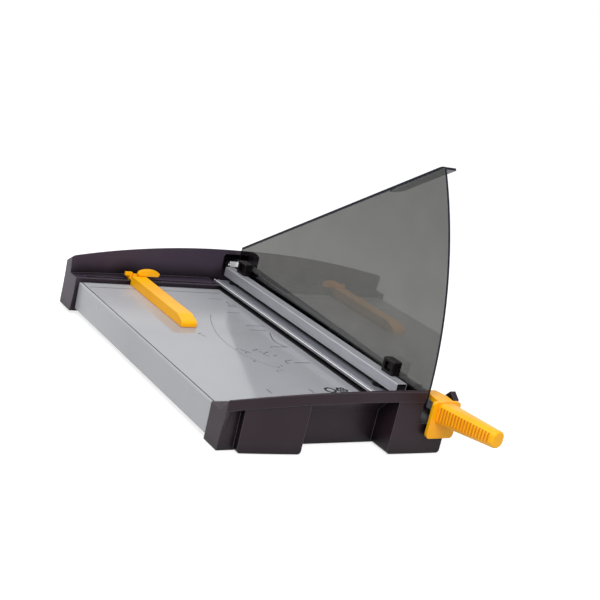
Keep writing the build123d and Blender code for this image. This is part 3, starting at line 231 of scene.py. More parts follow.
def cap_moulding(name, first, last, shade_full_at, shade_gone_at, colours):
    """Black ABS with a spark-eroded grain: dark and satin, painted a little paler along its edges
    as a highlight, and painted deep black in its recesses as shade. shade_full_at and
    shade_gone_at are the shares of open sky, within 25 mm, at which the painted shade is whole and
    at which it is gone. The grain is drawn at 0.9 mm to show."""
    material, tree = new_material(name)
    grain = speckle(tree, size_mm=0.9, detail=3.0)
    clouds = speckle(tree, size_mm=60.0, detail=1.0)
    rounded, skin = soft_skin(tree, grain, soft_mm=1.2, depth_mm=0.04, strength=0.2)
    cloudy = layered(tree, first, (clouds, *NOISE, last))
    # Share of open sky within 25 mm, which sets the painted shade in the recesses
    sky = add_node(tree, "ShaderNodeAmbientOcclusion", RAYS, Distance=25.0 * MM).outputs["AO"]
    close_material(tree, IOR=1.53, Specular_IOR_Level=0.18, Normal=skin,
                   Roughness=spread(tree, (grain, *NOISE, 0.3, 0.42)),
                   Base_Color=layered(tree, colours.cap_painted_shade, (sky, shade_full_at, shade_gone_at, cloudy),
                                      painted_edge_highlights(tree, rounded, colours.cap_edge_highlight)))
    return material


def block_moulding(colours):
    """Black nylon from a smooth tool: deep black and glossy, with sharp thin highlights along its
    edges."""
    material, tree = new_material("black_smooth_nylon")
    clouds = speckle(tree, size_mm=8.0)
    rounded, skin = soft_skin(tree, clouds, soft_mm=0.5, depth_mm=0.02, strength=0.1)
    close_material(tree, IOR=1.53, Specular_IOR_Level=0.18, Normal=skin,
                   Roughness=spread(tree, (clouds, *NOISE, 0.22, 0.32)),
                   Base_Color=layered(tree, colours.block, (clouds, *NOISE, colours.block_shade),
                                      painted_edge_highlights(tree, rounded, colours.block_edge_highlight)))
    return material


def yellow_moulding(colours):
    """Yellow ABS from a polished tool: even and strong in colour, with soft highlights painted on
    its edges, faint flow shading and a deep orange painted between its ribs as shade. That painted
    shade goes by the share of open sky within 4 mm."""
    material, tree = new_material("yellow_polished_abs")
    clouds = speckle(tree, size_mm=35.0, detail=1.0)
    fine = speckle(tree, size_mm=2.0)
    rounded, skin = soft_skin(tree, fine, soft_mm=0.9, depth_mm=0.02, strength=0.1)
    cloudy = layered(tree, colours.yellow, (clouds, *NOISE, colours.yellow_shade))
    sky = add_node(tree, "ShaderNodeAmbientOcclusion", RAYS, Distance=4.0 * MM).outputs["AO"]
    close_material(tree, IOR=1.53, Specular_IOR_Level=0.3, Normal=skin,
                   Roughness=spread(tree, (fine, *NOISE, 0.28, 0.38)),
                   Base_Color=layered(tree, colours.yellow_painted_shade, (sky, 0.35, 0.8, cloudy),
                                      painted_edge_highlights(tree, rounded, colours.yellow_edge_highlight)))
    return material


def smoked_acrylic(colours):
    """Smoked cast acrylic: clear grey sheet, mirror smooth, and dark blue-grey where it is seen
    edge on, on the faces that don't look along X: partly the acrylic's own dark edge, partly
    painted shade that stands in for a dark reflection, also over the bent lip."""
    material, tree = new_material("smoked_cast_acrylic")
    facing = axes(tree, "ShaderNodeNewGeometry", "True Normal")["X"]
    flat = add_node(tree, "ShaderNodeMath", {"operation": "ABSOLUTE"}, i0=facing).outputs[0]
    # Clear within 37 degrees of X, and an edge over 78 degrees from it
    broad = spread(tree, (flat, 0.2, 0.8, *SHARE))
    streaks = speckle(tree, size_mm=40.0, detail=1.0)
    clear = layered(tree, colours.guard, (streaks, *NOISE, colours.guard_shade))
    close_material(tree, IOR=1.49, Specular_IOR_Level=0.15, Roughness=0.03,
                   Transmission_Weight=broad,
                   Base_Color=layered(tree, colours.guard_edge_tint_and_painted_shade, (broad, *SHARE, clear)))
    return material


def grip_film(colours):
    """Dark ribbed PVC film: dull, with fine ribs along the cut. The ribs are drawn at 2 mm to
    show."""
    material, tree = new_material("ribbed_pvc_film")
    ribs = speckle(tree, size_mm=2.0, stretch=(1, DRAWN, 1))
    close_material(tree, Roughness=0.5,
                   Normal=soft_skin(tree, ribs, soft_mm=0.3, depth_mm=0.2, strength=0.4)[1],
                   Base_Color=layered(tree, colours.film, (ribs, *NOISE, colours.film_shade)))
    return material


def inside_channel(tree, node, wall_mm):
    """Share that is 1 inside an upturned channel along Y: nearer its middle plane than half its
    width less half its wall, and below its top by more than half its wall."""
    low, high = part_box(node)
    wall = wall_mm * MM
    place = axes(tree, "ShaderNodeTexCoord", "Object")
    between = add_node(tree, "ShaderNodeMath", {"operation": "COMPARE"}, i0=place["X"],
                       i1=(low.x + high.x) / 2, i2=(high.x - low.x - wall) / 2).outputs[0]
    below = add_node(tree, "ShaderNodeMath", {"operation": "LESS_THAN"}, i0=place["Z"],
                     i1=high.z - wall / 2).outputs[0]
    return add_node(tree, "ShaderNodeMath", {"operation": "MULTIPLY"}, i0=between,
                    i1=below).outputs[0]


def channel_aluminium(colours):
    """Aluminium channel drawn along Y and anodised outside: pale and satin, with fine long die
    lines, white painted highlights on its rims and painted shade inside. The lines are drawn at
    0.8 mm to show."""
    material, tree = new_material("satin_anodised_aluminium")
    lines = speckle(tree, size_mm=0.8, detail=3.0, stretch=(1, DRAWN, 1))
    rounded, skin = soft_skin(tree, lines, soft_mm=0.9, depth_mm=0.02, strength=0.15)
    # Painted shade inside the channel
    inside = inside_channel(tree, "clamp_channel", wall_mm=1.5)
    close_material(tree, Metallic=0.45, Normal=skin,
                   Roughness=spread(tree, (lines, *NOISE, 0.3, 0.44)),
                   Base_Color=layered(tree, colours.channel,
                                      (lines, *NOISE, colours.channel_shade),
                                      painted_edge_highlights(tree, rounded, WHITE),
                                      (inside, *SHARE, colours.channel_painted_shade)))
    return material


def metal(name, first, last, streak_mm, rough, along=None, edge="#F2F2F2", edge_mm=0.5, bare=1.0,
          painted_highlight_z=None):
    """A worked metal: streaks of a width in millimetres, drawn out along one axis or none, in tone
    and gloss, and edges painted bright as a highlight. The streaks run from 0.04 smoother to 0.05
    rougher than rough. The bare share is what its dull oxide skin leaves of the mirror. From 0.01
    mm above the height painted_highlight_z, it is painted as bright as its edges, a painted
    highlight."""
    material, tree = new_material(name)
    stretch = tuple(DRAWN if axis == along else 1.0 for axis in "xyz")
    streaks = speckle(tree, streak_mm, detail=3.0, stretch=stretch)
    rounded, skin = soft_skin(tree, streaks, soft_mm=edge_mm, depth_mm=0.02, strength=0.05)
    layers = [(streaks, *NOISE, last), painted_edge_highlights(tree, rounded, edge)]
    if painted_highlight_z is not None:
        height = axes(tree, "ShaderNodeTexCoord", "Object")["Z"]
        layers.append((height, painted_highlight_z, painted_highlight_z + 0.01 * MM, edge))
    close_material(tree, Metallic=bare, Normal=skin,
                   Roughness=spread(tree, (streaks, *NOISE, rough - 0.04, rough + 0.05)),
                   Base_Color=layered(tree, first, *layers))
    return material


def edging_vinyl(colours):
    """Extruded soft PVC: blue-black and satin, with a faint mottle that is drawn at 1.5 mm to
    show."""
    material, tree = new_material("extruded_soft_pvc")
    mottle = speckle(tree, size_mm=1.5)
    close_material(tree, IOR=1.53, Specular_IOR_Level=0.12,
                   Roughness=spread(tree, (mottle, *NOISE, 0.35, 0.5)),
                   Normal=soft_skin(tree, mottle, soft_mm=0.3, depth_mm=0.02, strength=0.15)[1],
                   Base_Color=layered(tree, colours.edging,
                                      (mottle, *NOISE, colours.edging_shade)))
    return material


def pad_rubber(colours):
    """Moulded black rubber: matt, slightly dusty."""
    material, tree = new_material("moulded_black_rubber")
    dust = speckle(tree, size_mm=3.0)
    close_material(tree, Roughness=0.8,
                   Normal=soft_skin(tree, dust, soft_mm=0.5, depth_mm=0.05, strength=0.2)[1],
                   Base_Color=layered(tree, colours.cap, (dust, *NOISE, colours.pad_dust)))
    return material


def print_ink(name, first, last):
    """Screen-printed ink: thin, matt, a little paler where it has worn."""
    material, tree = new_material(name)
    worn = speckle(tree, size_mm=4.0)
    close_material(tree, Roughness=0.55, Base_Color=layered(tree, first, (worn, *NOISE, last)))
    return material


def dress(material, *nodes):
    """Give CAD nodes one material."""
    for name in nodes:
        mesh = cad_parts[name].data
        mesh.materials.clear()
        mesh.materials.append(material)


def smooth_run(points, steps=60, degree=3):
    """Smooth curve along points: each coordinate is a cubic in the share of the run's chord
    length."""
    reach = np.concatenate([[0], np.cumsum(np.linalg.norm(np.diff(points, axis=0), axis=1))])
    share = reach / reach[-1]
    at = np.linspace(0, 1, steps)
    fitted = [np.polyval(np.polyfit(share, points[:, axis], degree), at) for axis in (0, 1)]
    return np.stack(fitted, axis=1)


def ring_run(centre, radius, wave=0.0, lobes=6, steps=72):
    """Closed ring whose radius swells by a share, wave, as the cosine of the angle times the
    lobes."""
    angle = np.linspace(0, 2 * np.pi, steps, endpoint=False)
    reach = radius * (1 + wave * np.cos(lobes * angle))
    return centre + reach[:, None] * np.stack([np.cos(angle), np.sin(angle)], axis=1)


def ribbon(path, width, closed=False):
    """Flat strip of a width along a path in a level plane: each point moves half the width along
    its normal, which is the path's direction turned by a quarter turn."""
    ahead = np.roll(path, -1, axis=0) - np.roll(path, 1, axis=0)
    if not closed:
        ahead[0], ahead[-1] = path[1] - path[0], path[-1] - path[-2]
    normal = np.stack([-ahead[:, 1], ahead[:, 0]], axis=1)
    normal /= np.linalg.norm(normal, axis=1, keepdims=True)
    points = np.concatenate([path + normal * width / 2, path - normal * width / 2])
    count = len(path)
    first = np.arange(count if closed else count - 1)
    nxt = (first + 1) % count
    faces = np.stack([first, first + count, nxt + count, nxt], axis=1)
    return points, faces


def ink_piece(name, strips, lift, material):
    """One level piece of ink on the bed from strips of points and faces, measured from the bed's
    left front corner."""
    starts = np.cumsum([0] + [len(points) for points, faces in strips])
    corner = np.array([BED_LOW.x, BED_LOW.y])
    flat = np.concatenate([points for points, faces in strips]) + corner
    level = np.full((len(flat), 1), BED_HIGH.z + lift)
    faces = np.concatenate([faces + start for (points, faces), start in zip(strips, starts)])
    mesh = bpy.data.meshes.new(name)
    mesh.from_pydata(np.hstack([flat, level]).tolist(), [], faces.tolist())
    mesh.validate()
    mesh.update()
    mesh.materials.append(material)
    piece = bpy.data.objects.new(name, mesh)
    bpy.context.scene.collection.objects.link(piece)
    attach(piece, "base")
    return piece


def tube_faces(rings, sides, starts=(0,)):
    """Faces of tubes whose points start at these numbers, each tube a run of rings of as many
    points as it has sides: four corners between neighbours on one ring and the next, and a cap at
    each end."""
    ring, side = np.meshgrid(np.arange(rings - 1), np.arange(sides), indexing="ij")
    corner = (ring * sides + side).ravel()
    beside = (ring * sides + (side + 1) % sides).ravel()
    walls = np.stack([corner, beside, beside + sides, corner + sides], axis=1)
    faces = np.concatenate([walls + start for start in starts]).tolist()
    for start in starts:
        for cap in (start, start + (rings - 1) * sides):
            faces.append(list(range(cap, cap + sides)))
    return faces


def solid_piece(name, points, faces, material, body):
    """A closed piece of points and faces, turned to face outwards, that rides on a body."""
    mesh = bpy.data.meshes.new(name)
    mesh.from_pydata(points.tolist(), [], faces)
    shell = bmesh.new()
    shell.from_mesh(mesh)
    bmesh.ops.recalc_face_normals(shell, faces=shell.faces)
    shell.to_mesh(mesh)
    shell.free()
    mesh.materials.append(material)
    piece = bpy.data.objects.new(name, mesh)
    bpy.context.scene.collection.objects.link(piece)
    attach(piece, body)
    return piece


def coil_piece(name, settings, material):
    """Two closed coils of round wire between the cups and the clamp plate. The wire's middle turns
    about a post and climbs evenly from the springs' lowest to their highest point, and its skin is
    a circle that leans with the climb, on the outward direction and the one square to it and to
    the run."""
    low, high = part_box("clamp_springs")
    thick = settings.wire / 2
    radius = (high.x - low.x) / 2 - thick
    steps = settings.steps * settings.turns + 1
    turn = np.linspace(0, 2 * np.pi * settings.turns, steps)[:, None, None]
    round_wire = np.linspace(0, 2 * np.pi, settings.sides, endpoint=False)[None, :, None]
    flat = np.zeros_like(turn)
    outward = np.concatenate([np.cos(turn), np.sin(turn), flat], axis=2)
    climb = (high.z - low.z - 2 * thick) / (2 * np.pi * settings.turns)
    run = np.concatenate([-radius * np.sin(turn), radius * np.cos(turn), flat + climb], axis=2)
    across = np.cross(run / np.linalg.norm(run, axis=2, keepdims=True), outward)
    skin = outward * (radius + thick * np.cos(round_wire)) + across * thick * np.sin(round_wire)
    skin = skin + np.concatenate([flat, flat, low.z + thick + climb * turn], axis=2)
    half = radius + thick
    middles = [np.array([(low.x + high.x) / 2, y, 0]) for y in (low.y + half, high.y - half)]
    points = np.concatenate([(skin + middle).reshape(-1, 3) for middle in middles])
    faces = tube_faces(steps, settings.sides, (0, steps * settings.sides))
    piece = solid_piece(name, points, faces, material, "clamp")
    piece.data.shade_smooth()
    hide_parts("clamp_springs")
    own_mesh(piece)
    return piece


def edging_piece(name, settings, material):
    """Closed strip: the edging's section carried in equal steps along the guard's top edge, a
    straight line up from its rear shoulder. A point is the shoulder, plus its step along the
    slope, plus the section's right share along X, plus its out share square to the slope, which
    shrinks over the last few millimetres."""
    low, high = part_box("guard_panel")
    along = np.array([0, -np.cos(settings.slope), np.sin(settings.slope)])
    out = np.array([0, np.sin(settings.slope), np.cos(settings.slope)])
    shoulder = np.array([low.x, high.y, settings.shoulder])
    steps = np.linspace(settings.start, settings.end, settings.steps)
    section = np.array(EDGING) * MM
    whole = np.clip((settings.end - steps) / settings.taper, 0.0, 1.0)
    shrink = whole * (1 - settings.thin) + settings.thin
    right = section[:, :1] * np.array([1, 0, 0])
    rise = shrink[:, None, None] * section[None, :, 1:] * out
    points = (shoulder + steps[:, None, None] * along + right[None] + rise).reshape(-1, 3)
    faces = tube_faces(len(steps), len(section))
    return solid_piece(name, points, faces, material, "clamp")


class CutterColours(bpy.types.PropertyGroup):
    """Colours of the finishes, as sRGB hex values."""

    bed: StringProperty(name="Bed", description="Bed enamel", default="#9E9FA4")
    bed_shade: StringProperty(name="Bed shade", description="Bed enamel in its darker clouds",
                              default="#98999E")
    # Painted light: the paler enamel laid on the skirt and towards the rear left
    bed_painted_light: StringProperty(name="Bed rear", description="Enamel that paper has not polished",
                             default="#B6B7BC")
    bed_flake: StringProperty(name="Bed flakes", description="Bright flakes in the bed enamel",
                              default="#B4B5BA")
    # Painted highlight along the bed's folds
    bed_edge_highlight: StringProperty(name="Bed edge", description="Bed enamel along the folds",
                             default="#BFC0C4")
    cap: StringProperty(name="Caps", description="End cap moulding", default="#271B23")
    cap_shade: StringProperty(name="Caps shade", description="End cap moulding, lighter clouds",
                              default="#2C2028")
    # Painted light: a lighter copy of the caps' moulding, for the rear cap
    cap_painted_lighter: StringProperty(name="Rear cap", description="Rear end cap moulding",
                             default="#423846")
    cap_painted_lighter_clouds: StringProperty(name="Rear cap shade",
                                   description="Rear end cap, lighter clouds", default="#483E4A")
    # Painted shade in the caps' recesses
    cap_painted_shade: StringProperty(name="Caps recess", description="End cap moulding in its recesses",
                               default="#0C080B")
    # Painted highlight on the caps' edges
    cap_edge_highlight: StringProperty(name="Caps edge", description="End cap moulding, rubbed edges",
                             default="#6A646A")
    pad_dust: StringProperty(name="Pad dust", description="Foot pads where dusty",
                             default="#3A393A")
    block: StringProperty(name="Blocks", description="Guard blocks and bushes", default="#0D090A")
    block_shade: StringProperty(name="Blocks shade", description="Guard blocks, lighter clouds",
                                default="#130E10")
    # Painted highlight on the blocks' edges
    block_edge_highlight: StringProperty(name="Blocks edge", description="Guard blocks, edges",
                               default="#3A3336")
    yellow: StringProperty(name="Yellow", description="Handle and guide", default="#FFB807")
    yellow_shade: StringProperty(name="Yellow shade", description="Handle and guide, deeper",
                                 default="#FFB000")
    # Painted shade between the handle's ribs
    yellow_painted_shade: StringProperty(name="Yellow recess", description="Handle between its ribs",
                                  default="#EE7A00")
    # Painted highlight on the yellow edges
    yellow_edge_highlight: StringProperty(name="Yellow edge", description="Handle and guide, edges",
                                default="#FFC645")
    guard: StringProperty(name="Guard", description="Light that the acrylic lets through",
                          default="#626260")
    guard_shade: StringProperty(name="Guard shade", description="The acrylic's faint streaks",
                                default="#5D5D5B")
    # Partly the acrylic's dark edge, partly painted shade for a dark reflection
    guard_edge_tint_and_painted_shade: StringProperty(name="Guard edge", description="The acrylic seen edge on",
                               default="#161A28")
    edging: StringProperty(name="Edging", description="Strip on the guard's top edge",
                           default="#0B0E1A")
    edging_shade: StringProperty(name="Edging shade", description="The strip's faint mottle",
                                 default="#121728")
    channel: StringProperty(name="Channel", description="Clamp channel", default="#BFC0C6")
    channel_shade: StringProperty(name="Channel shade", description="Clamp channel's die lines",
                                  default="#A2A3AA")
    # Painted shade inside the clamp channel
    channel_painted_shade: StringProperty(name="Channel inside", description="Clamp channel, inside",
                                   default="#2A2529")
    film: StringProperty(name="Film", description="Grip strip", default="#1C1A1E")
    film_shade: StringProperty(name="Film shade", description="Grip strip between its ribs",
                               default="#121014")
    ink: StringProperty(name="Ink", description="Printed lines", default="#3A3B41")
    ink_worn: StringProperty(name="Worn ink", description="Printed lines where worn",
                             default="#55565C")
    # Also the painted shade along the bed's left fold
    bold_ink_and_fold_shade: StringProperty(name="Bold ink", description="Printed signs and fold line",
                             default="#0E0E10")
    bold_worn_and_fold_shade: StringProperty(name="Worn bold ink", description="Signs and fold line where worn",
                              default="#1C1C1F")


class CutterPrint(bpy.types.PropertyGroup):
    """Print on the bed."""

    arc_width: FloatProperty(name="Arc width", description="Width of the long arc's line",
                             default=0.7 * MM, min=0.1 * MM, unit="LENGTH")
    line_width: FloatProperty(name="Line width", description="Width of a printed line",
                              default=1.6 * MM, min=0.1 * MM, unit="LENGTH")
    bold_width: FloatProperty(name="Bold width", description="Width of a sign's line",
                              default=3.2 * MM, min=0.1 * MM, unit="LENGTH")
    dot_share: FloatProperty(name="Dot", description="Radius of a dot's line, in line widths",
                             default=0.6, min=0.0, subtype="FACTOR")
    fold_shade_inset: FloatProperty(name="Fold line inset", description="Fold line from the left fold",
                              default=3.4 * MM, unit="LENGTH")
    fold_shade_gap: FloatProperty(name="Fold line gap", description="Gap at the fold line's ends",
                            default=0.5 * MM, unit="LENGTH")
    sign_radius: FloatProperty(name="Sign radius", description="Size of the printed signs",
                               default=6.5 * MM, unit="LENGTH")
    sign_swell: FloatProperty(name="Sign swell", description="Swell of the lobed sign's edge",
                              default=0.16, min=0.0, max=1.0, subtype="FACTOR")
    hub_radius: FloatProperty(name="Hub radius", description="Lobed sign's hub, in sign radii",
                              default=0.35, min=0.0, max=1.0, subtype="FACTOR")
    hub_width: FloatProperty(name="Hub width", description="Hub's line, in sign line widths",
                             default=0.7, min=0.0, max=1.0, subtype="FACTOR")
    lift: FloatProperty(name="Lift", description="Height of the ink above the enamel",
                        default=0.03 * MM, min=0.0, unit="LENGTH")


class CutterSprings(bpy.types.PropertyGroup):
    """Coil springs under the clamp."""

    wire: FloatProperty(name="Wire", description="Thickness of the spring wire",
                        default=1.4 * MM, min=0.1 * MM, unit="LENGTH")
    turns: IntProperty(name="Turns", description="Turns of each spring", default=4, min=1)
    steps: IntProperty(name="Steps", description="Rings of points in a turn", default=40, min=8)
    sides: IntProperty(name="Sides", description="Points round the wire", default=12, min=3)
    travel: FloatProperty(name="Travel", description="How far the clamp presses the springs",
                          default=5.0 * MM, min=0.0, unit="LENGTH")


class CutterEdging(bpy.types.PropertyGroup):
    """Edging strip on the guard."""

    shoulder: FloatProperty(name="Shoulder height",
                            description="Top edge's rear end above the table",
                            default=104.0 * MM, unit="LENGTH")
    slope: FloatProperty(name="Slope", description="Rise of the guard's top edge",
                         default=np.radians(29.8), subtype="ANGLE")
    start: FloatProperty(name="Start", description="Strip's rear end, along the edge",
                         default=2.0 * MM, unit="LENGTH")
    end: FloatProperty(name="End", description="Strip's front end, along the edge",
                       default=463.0 * MM, unit="LENGTH")
    steps: IntProperty(name="Steps", description="Sections along the strip", default=120, min=2)
    taper: FloatProperty(name="Taper", description="Length over which the front end thins",
                         default=5.0 * MM, unit="LENGTH")
    thin: FloatProperty(name="Thin end", description="Share of its height left at the front end",
                        default=0.3, min=0.0, max=1.0, subtype="FACTOR")


class CutterStage(bpy.types.PropertyGroup):
    """Camera and studio."""

    place: FloatVectorProperty(name="Camera place", description="Camera position", subtype="XYZ",
                               unit="LENGTH", default=(-0.77265, -1.1518, 0.4991))
    right: FloatVectorProperty(name="Camera right", description="Direction to the picture's right",
                               subtype="DIRECTION", default=(0.8284, -0.5144, 0.2218))
    up: FloatVectorProperty(name="Camera up", description="Direction to the picture's top",
                            subtype="DIRECTION", default=(-0.0410, 0.3393, 0.9399))
    focal: FloatProperty(name="Focal length", description="Lens on a 36 mm sensor",
                         default=68.49, unit="CAMERA")
    aim: FloatVectorProperty(name="Lamps' aim", description="Point that the lamps look at",
                             subtype="XYZ", unit="LENGTH", default=(0.0, 0.0, 0.05))
    key_power: FloatProperty(name="Key power", description="Soft lamp in front", default=20.5,
                             unit="POWER")
    top_power: FloatProperty(name="Top power", description="Soft lamp over the bed", default=4.5,
                             unit="POWER")
    side_power: FloatProperty(name="Side power", description="Soft lamp at the rear left",
                              default=1.4, unit="POWER")
    fill: FloatProperty(name="Fill", description="Strength of the white surroundings",
                        default=0.5, min=0.0)
    paper: StringProperty(name="Paper", description="Studio paper on the floor",
                          default="#BCBCBC")
    paper_glow: FloatProperty(name="Paper glow", description="White that the floor shows",
                              default=0.78, min=0.0)
    paper_half: FloatProperty(name="Paper half", description="Half the floor's width",
                              default=6.0, unit="LENGTH")


class CUTTER_OT_dress(bpy.types.Operator):
    """Finish every CAD node with its real material"""

    bl_idname = "cutter.dress"
    bl_label = "Finish the Pieces"

    def execute(self, context):
        colours = context.scene.cutter_colours
        dress(bed_enamel(colours), "bed_plate")
        dress(cap_moulding("black_textured_abs", colours.cap, colours.cap_shade,
                           shade_full_at=0.4, shade_gone_at=0.88, colours=colours), "front_end_cap")
        # The rear cap is the same moulding painted lighter and greyer, as painted light
        dress(cap_moulding("black_textured_abs_painted_lighter", colours.cap_painted_lighter, colours.cap_painted_lighter_clouds,
                           shade_full_at=0.5, shade_gone_at=0.95, colours=colours), "rear_end_cap")
        dress(block_moulding(colours), "clamp_bushes", "guard_block_front", "guard_block_rear")
        dress(yellow_moulding(colours), "handle", "guide_arm", "guide_lever")
        dress(smoked_acrylic(colours), "guard_panel")
        dress(grip_film(colours), "grip_strip")
        dress(channel_aluminium(colours), "clamp_channel")
        dress(pad_rubber(colours), "foot_pads")
        # Rolled bright along Y: a darker sheet that mirrors what stands over it, with white
        # painted highlights on its edges and on its lip, the top half millimetre
        dress(metal("bright_rolled_aluminium", "#8C8D95", "#6C6D77", streak_mm=1.2, rough=0.36,
                    along="y", edge=WHITE, edge_mm=0.7, bare=0.3,
                    painted_highlight_z=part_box("clamp_plate")[1].z - 0.5 * MM),
              "clamp_plate")
        # Cast, then tumbled: an even, slightly mottled grey, painted pale as painted light for the
        # light that comes through the guard
        dress(metal("die_cast_aluminium", "#D8D9DB", "#CACBCD", streak_mm=2.0, rough=0.42,
                    bare=0.6), "arm_bar")
        # Ground across the edge: fine upright scratches, drawn at 3 mm to show
        dress(metal("ground_tool_steel", "#C4C5C8", "#B4B5B8", streak_mm=3.0, rough=0.26,
                    along="z"), "lower_blade", "upper_blade")
        # Plated: bright, with soft patches
        dress(metal("zinc_plated_steel", "#BDBEC0", "#A2A3A5", streak_mm=3.0, rough=0.32),
              "bed_stiffeners", "end_cap_screws", "lower_blade_screws", "pivot_bracket",
              "pivot_bracket_screws", "pivot_bolt", "pivot_nut", "pivot_washers", "spring_cups",
              "clamp_posts", "upper_blade_screws", "handle_screws", "guide_pin")
        # Blackened: dark, with grey edges, partly worn and partly a painted highlight
        dress(metal("black_oxide_steel", "#2E2D30", "#232225", streak_mm=2.0, rough=0.4,
                    edge="#57565A"), "guard_screws", "guard_nuts")
        # Stamped and blued strip: smooth grey
        dress(metal("blued_spring_strip", "#8E8F92", "#77787B", streak_mm=0.5, rough=0.3),
              "clamp_springs", "post_clips")
        # Turned and run in: smooth brown, with pale edges painted as a highlight
        dress(metal("turned_bronze", "#B08D57", "#9A7846", streak_mm=0.4, rough=0.3,
                    edge="#D9B77E"), "pivot_bush")
        return {"FINISHED"}


class CUTTER_OT_print(bpy.types.Operator):
    """Print the arcs, marks, strokes, dots and signs on the bed, and paint a dark line of shade
    along the left fold
    """

    bl_idname = "cutter.print_bed"
    bl_label = "Print the Bed"

    def execute(self, context):
        settings = context.scene.cutter_print
        colours = context.scene.cutter_colours
        line, bold, radius = settings.line_width, settings.bold_width, settings.sign_radius
        short_arc, long_arc = (smooth_run(np.array(arc) * MM) for arc in (SHORT_ARC, LONG_ARC))
        marks = [[(start, y), (end, y)] for start, end, y in CROSS_MARKS]
        ticks = [[(x, start), (x, end)] for x, start, end in LENGTH_TICKS]
        runs = [short_arc] + [np.array(run) * MM for run in marks + ticks + STROKES]
        strips = [ribbon(run, line) for run in runs]
        strips.append(ribbon(long_arc, settings.arc_width))
        strips += [ribbon(ring_run(dot, line * settings.dot_share), line, closed=True)
                   for dot in np.array(DOTS) * MM]
        ink_piece("bed_print", strips, settings.lift,
                  print_ink("grey_screen_ink", colours.ink, colours.ink_worn))
        ring, lobed = np.array([RING_SIGN, LOBED_SIGN]) * MM
        signs = [(ring_run(ring, radius), bold),
                 (ring_run(lobed, radius, wave=settings.sign_swell), bold),
                 (ring_run(lobed, radius * settings.hub_radius), bold * settings.hub_width)]
        strips = [ribbon(run, width, closed=True) for run, width in signs]
        # A dark line just inside the left fold, in the signs' black ink: painted shade at the fold
        bed_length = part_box("rear_end_cap")[0].y - BED_LOW.y
        fold = np.array([[settings.fold_shade_inset, settings.fold_shade_gap],
                         [settings.fold_shade_inset, bed_length - settings.fold_shade_gap]])
        strips.append(ribbon(fold, line))
        ink_piece("bed_symbols_and_fold_shade", strips, settings.lift,
                  print_ink("black_ink_and_fold_shade", colours.bold_ink_and_fold_shade, colours.bold_worn_and_fold_shade))
        return {"FINISHED"}


class CUTTER_OT_springs(bpy.types.Operator):
    """Wind the clamp's springs"""

    bl_idname = "cutter.wind_springs"
    bl_label = "Wind the Springs"

    def execute(self, context):
        # Drawn wire: grey and smooth, with a fine mottle
        steel = metal("drawn_music_wire", "#8E8F92", "#77787B", streak_mm=0.5, rough=0.3)
        coil_piece("clamp_coils", context.scene.cutter_springs, steel)
        return {"FINISHED"}


class CUTTER_OT_edge(bpy.types.Operator):
    """Push the soft edging strip over the guard's top edge"""

    bl_idname = "cutter.edge_guard"
    bl_label = "Edge the Guard"

    def execute(self, context):
        vinyl = edging_vinyl(context.scene.cutter_colours)
        edging_piece("guard_edging", context.scene.cutter_edging, vinyl)
        return {"FINISHED"}


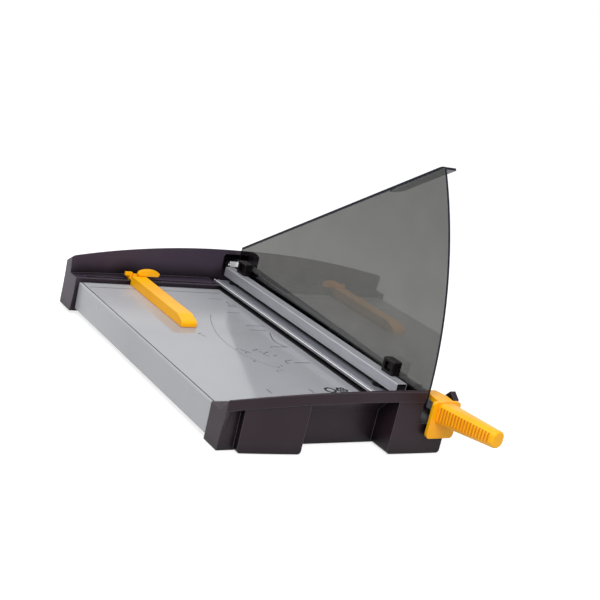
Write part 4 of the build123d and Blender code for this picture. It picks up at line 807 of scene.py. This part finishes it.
class CUTTER_OT_stage(bpy.types.Operator):
    """Set the pale floor, the soft lamps, the white surroundings and the camera"""

    bl_idname = "cutter.stage"
    bl_label = "Set the Stage"

    def execute(self, context):
        scene = context.scene
        settings = scene.cutter_stage
        scene.view_settings.view_transform = "Standard"
        self.floor(scene, settings)
        self.surroundings(scene, settings)
        self.lamps(scene, settings)
        self.camera(scene, settings)
        return {"FINISHED"}

    @staticmethod
    def seen(tree):
        """1 where the camera, a gloss or a clear piece looks, 0 for the light that falls on the
        object."""
        path = add_node(tree, "ShaderNodeLightPath").outputs
        first = add_node(tree, "ShaderNodeMath", {"operation": "MAXIMUM"},
                         i0=path["Is Camera Ray"], i1=path["Is Glossy Ray"]).outputs[0]
        return add_node(tree, "ShaderNodeMath", {"operation": "MAXIMUM"}, i0=first,
                        i1=path["Is Transmission Ray"]).outputs[0]

    def floor(self, scene, settings):
        """A wide level square of pale paper: its glow and its own light add up to white, less in
        the shadow."""
        half = settings.paper_half
        points = [(-half, -half, 0), (half, -half, 0), (half, half, 0), (-half, half, 0)]
        mesh = bpy.data.meshes.new("studio_floor")
        mesh.from_pydata(points, [], [(0, 1, 2, 3)])
        material, tree = new_material("pale_studio_paper")
        matt = add_node(tree, "ShaderNodeBsdfDiffuse", Color=settings.paper)
        strength = spread(tree, (self.seen(tree), *SHARE, 0.0, settings.paper_glow))
        glow = add_node(tree, "ShaderNodeEmission", Color=WHITE, Strength=strength)
        both = add_node(tree, "ShaderNodeAddShader", i0=matt.outputs[0], i1=glow.outputs[0])
        add_node(tree, "ShaderNodeOutputMaterial", Surface=both.outputs[0])
        mesh.materials.append(material)
        floor = bpy.data.objects.new("studio_floor", mesh)
        scene.collection.objects.link(floor)

    def surroundings(self, scene, settings):
        """White where they are seen, and a softer fill for everything else."""
        world = bpy.data.worlds.new("white_studio")
        world.use_nodes = True
        tree = world.node_tree
        tree.nodes.clear()
        strength = spread(tree, (self.seen(tree), *SHARE, settings.fill, 1.0))
        sky = add_node(tree, "ShaderNodeBackground", Color=WHITE, Strength=strength)
        add_node(tree, "ShaderNodeOutputWorld", Surface=sky.outputs[0])
        scene.world = world

    @staticmethod
    def lamps(scene, settings):
        """Soft lamps in front, over the bed and at the rear left, all aimed at the bed."""
        aim = Vector(settings.aim)
        for name, place, size, power in (
                ("key_lamp", (-0.6, -1.5, 1.4), 1.3, settings.key_power),
                ("top_lamp", (-0.45, -0.2, 0.9), 0.6, settings.top_power),
                ("side_lamp", (-0.6, 0.55, 0.9), 0.6, settings.side_power)):
            light = bpy.data.lights.new(name, "AREA")
            light.size = size
            light.energy = power
            lamp = bpy.data.objects.new(name, light)
            scene.collection.objects.link(lamp)
            lamp.location = place
            lamp.rotation_euler = (aim - Vector(place)).to_track_quat("-Z", "Y").to_euler()

    @staticmethod
    def camera(scene, settings):
        """The photograph's viewpoint: its columns are right, up and backwards."""
        lens = bpy.data.cameras.new("photo_camera")
        lens.sensor_width = 36.0
        lens.sensor_fit = "HORIZONTAL"
        lens.lens = settings.focal
        lens.clip_start = 0.05
        right = Vector(settings.right).normalized()
        back = right.cross(Vector(settings.up)).normalized()
        up = back.cross(right)
        turn = Matrix((right, up, back)).transposed()
        camera = bpy.data.objects.new("photo_camera", lens)
        scene.collection.objects.link(camera)
        camera.matrix_world = Matrix.Translation(Vector(settings.place)) @ turn.to_4x4()
        scene.camera = camera


class CUTTER_PT_panel(bpy.types.Panel):
    """Sidebar list of the cutter's steps"""

    bl_idname = "CUTTER_PT_panel"
    bl_label = "Paper Cutter"
    bl_space_type = "VIEW_3D"
    bl_region_type = "UI"
    bl_category = "Paper Cutter"

    def draw(self, context):
        for operator in OPERATORS:
            self.layout.operator(operator.bl_idname)
        for group in GROUPS:
            box = self.layout.box()
            settings = getattr(context.scene, group)
            for name in settings.__annotations__:
                box.prop(settings, name)


OPERATORS = (CUTTER_OT_dress, CUTTER_OT_print, CUTTER_OT_springs, CUTTER_OT_edge, CUTTER_OT_stage)
GROUPS = {"cutter_colours": CutterColours, "cutter_print": CutterPrint,
          "cutter_springs": CutterSprings, "cutter_edging": CutterEdging,
          "cutter_stage": CutterStage}


def register():
    """Register the classes and hang each group of settings on the scene."""
    for group in GROUPS.values():
        bpy.utils.register_class(group)
    for name, group in GROUPS.items():
        setattr(bpy.types.Scene, name, PointerProperty(type=group))
    for item in (*OPERATORS, CUTTER_PT_panel):
        bpy.utils.register_class(item)


def unregister():
    """Take the settings off the scene and the classes out of Blender."""
    for item in (CUTTER_PT_panel, *reversed(OPERATORS)):
        bpy.utils.unregister_class(item)
    for name in GROUPS:
        delattr(bpy.types.Scene, name)
    for group in reversed(GROUPS.values()):
        bpy.utils.unregister_class(group)


def main():
    """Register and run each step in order."""
    register()
    bpy.ops.cutter.dress()
    bpy.ops.cutter.print_bed()
    bpy.ops.cutter.wind_springs()
    bpy.ops.cutter.edge_guard()
    bpy.ops.cutter.stage()


if __name__ == "__main__":
    main()
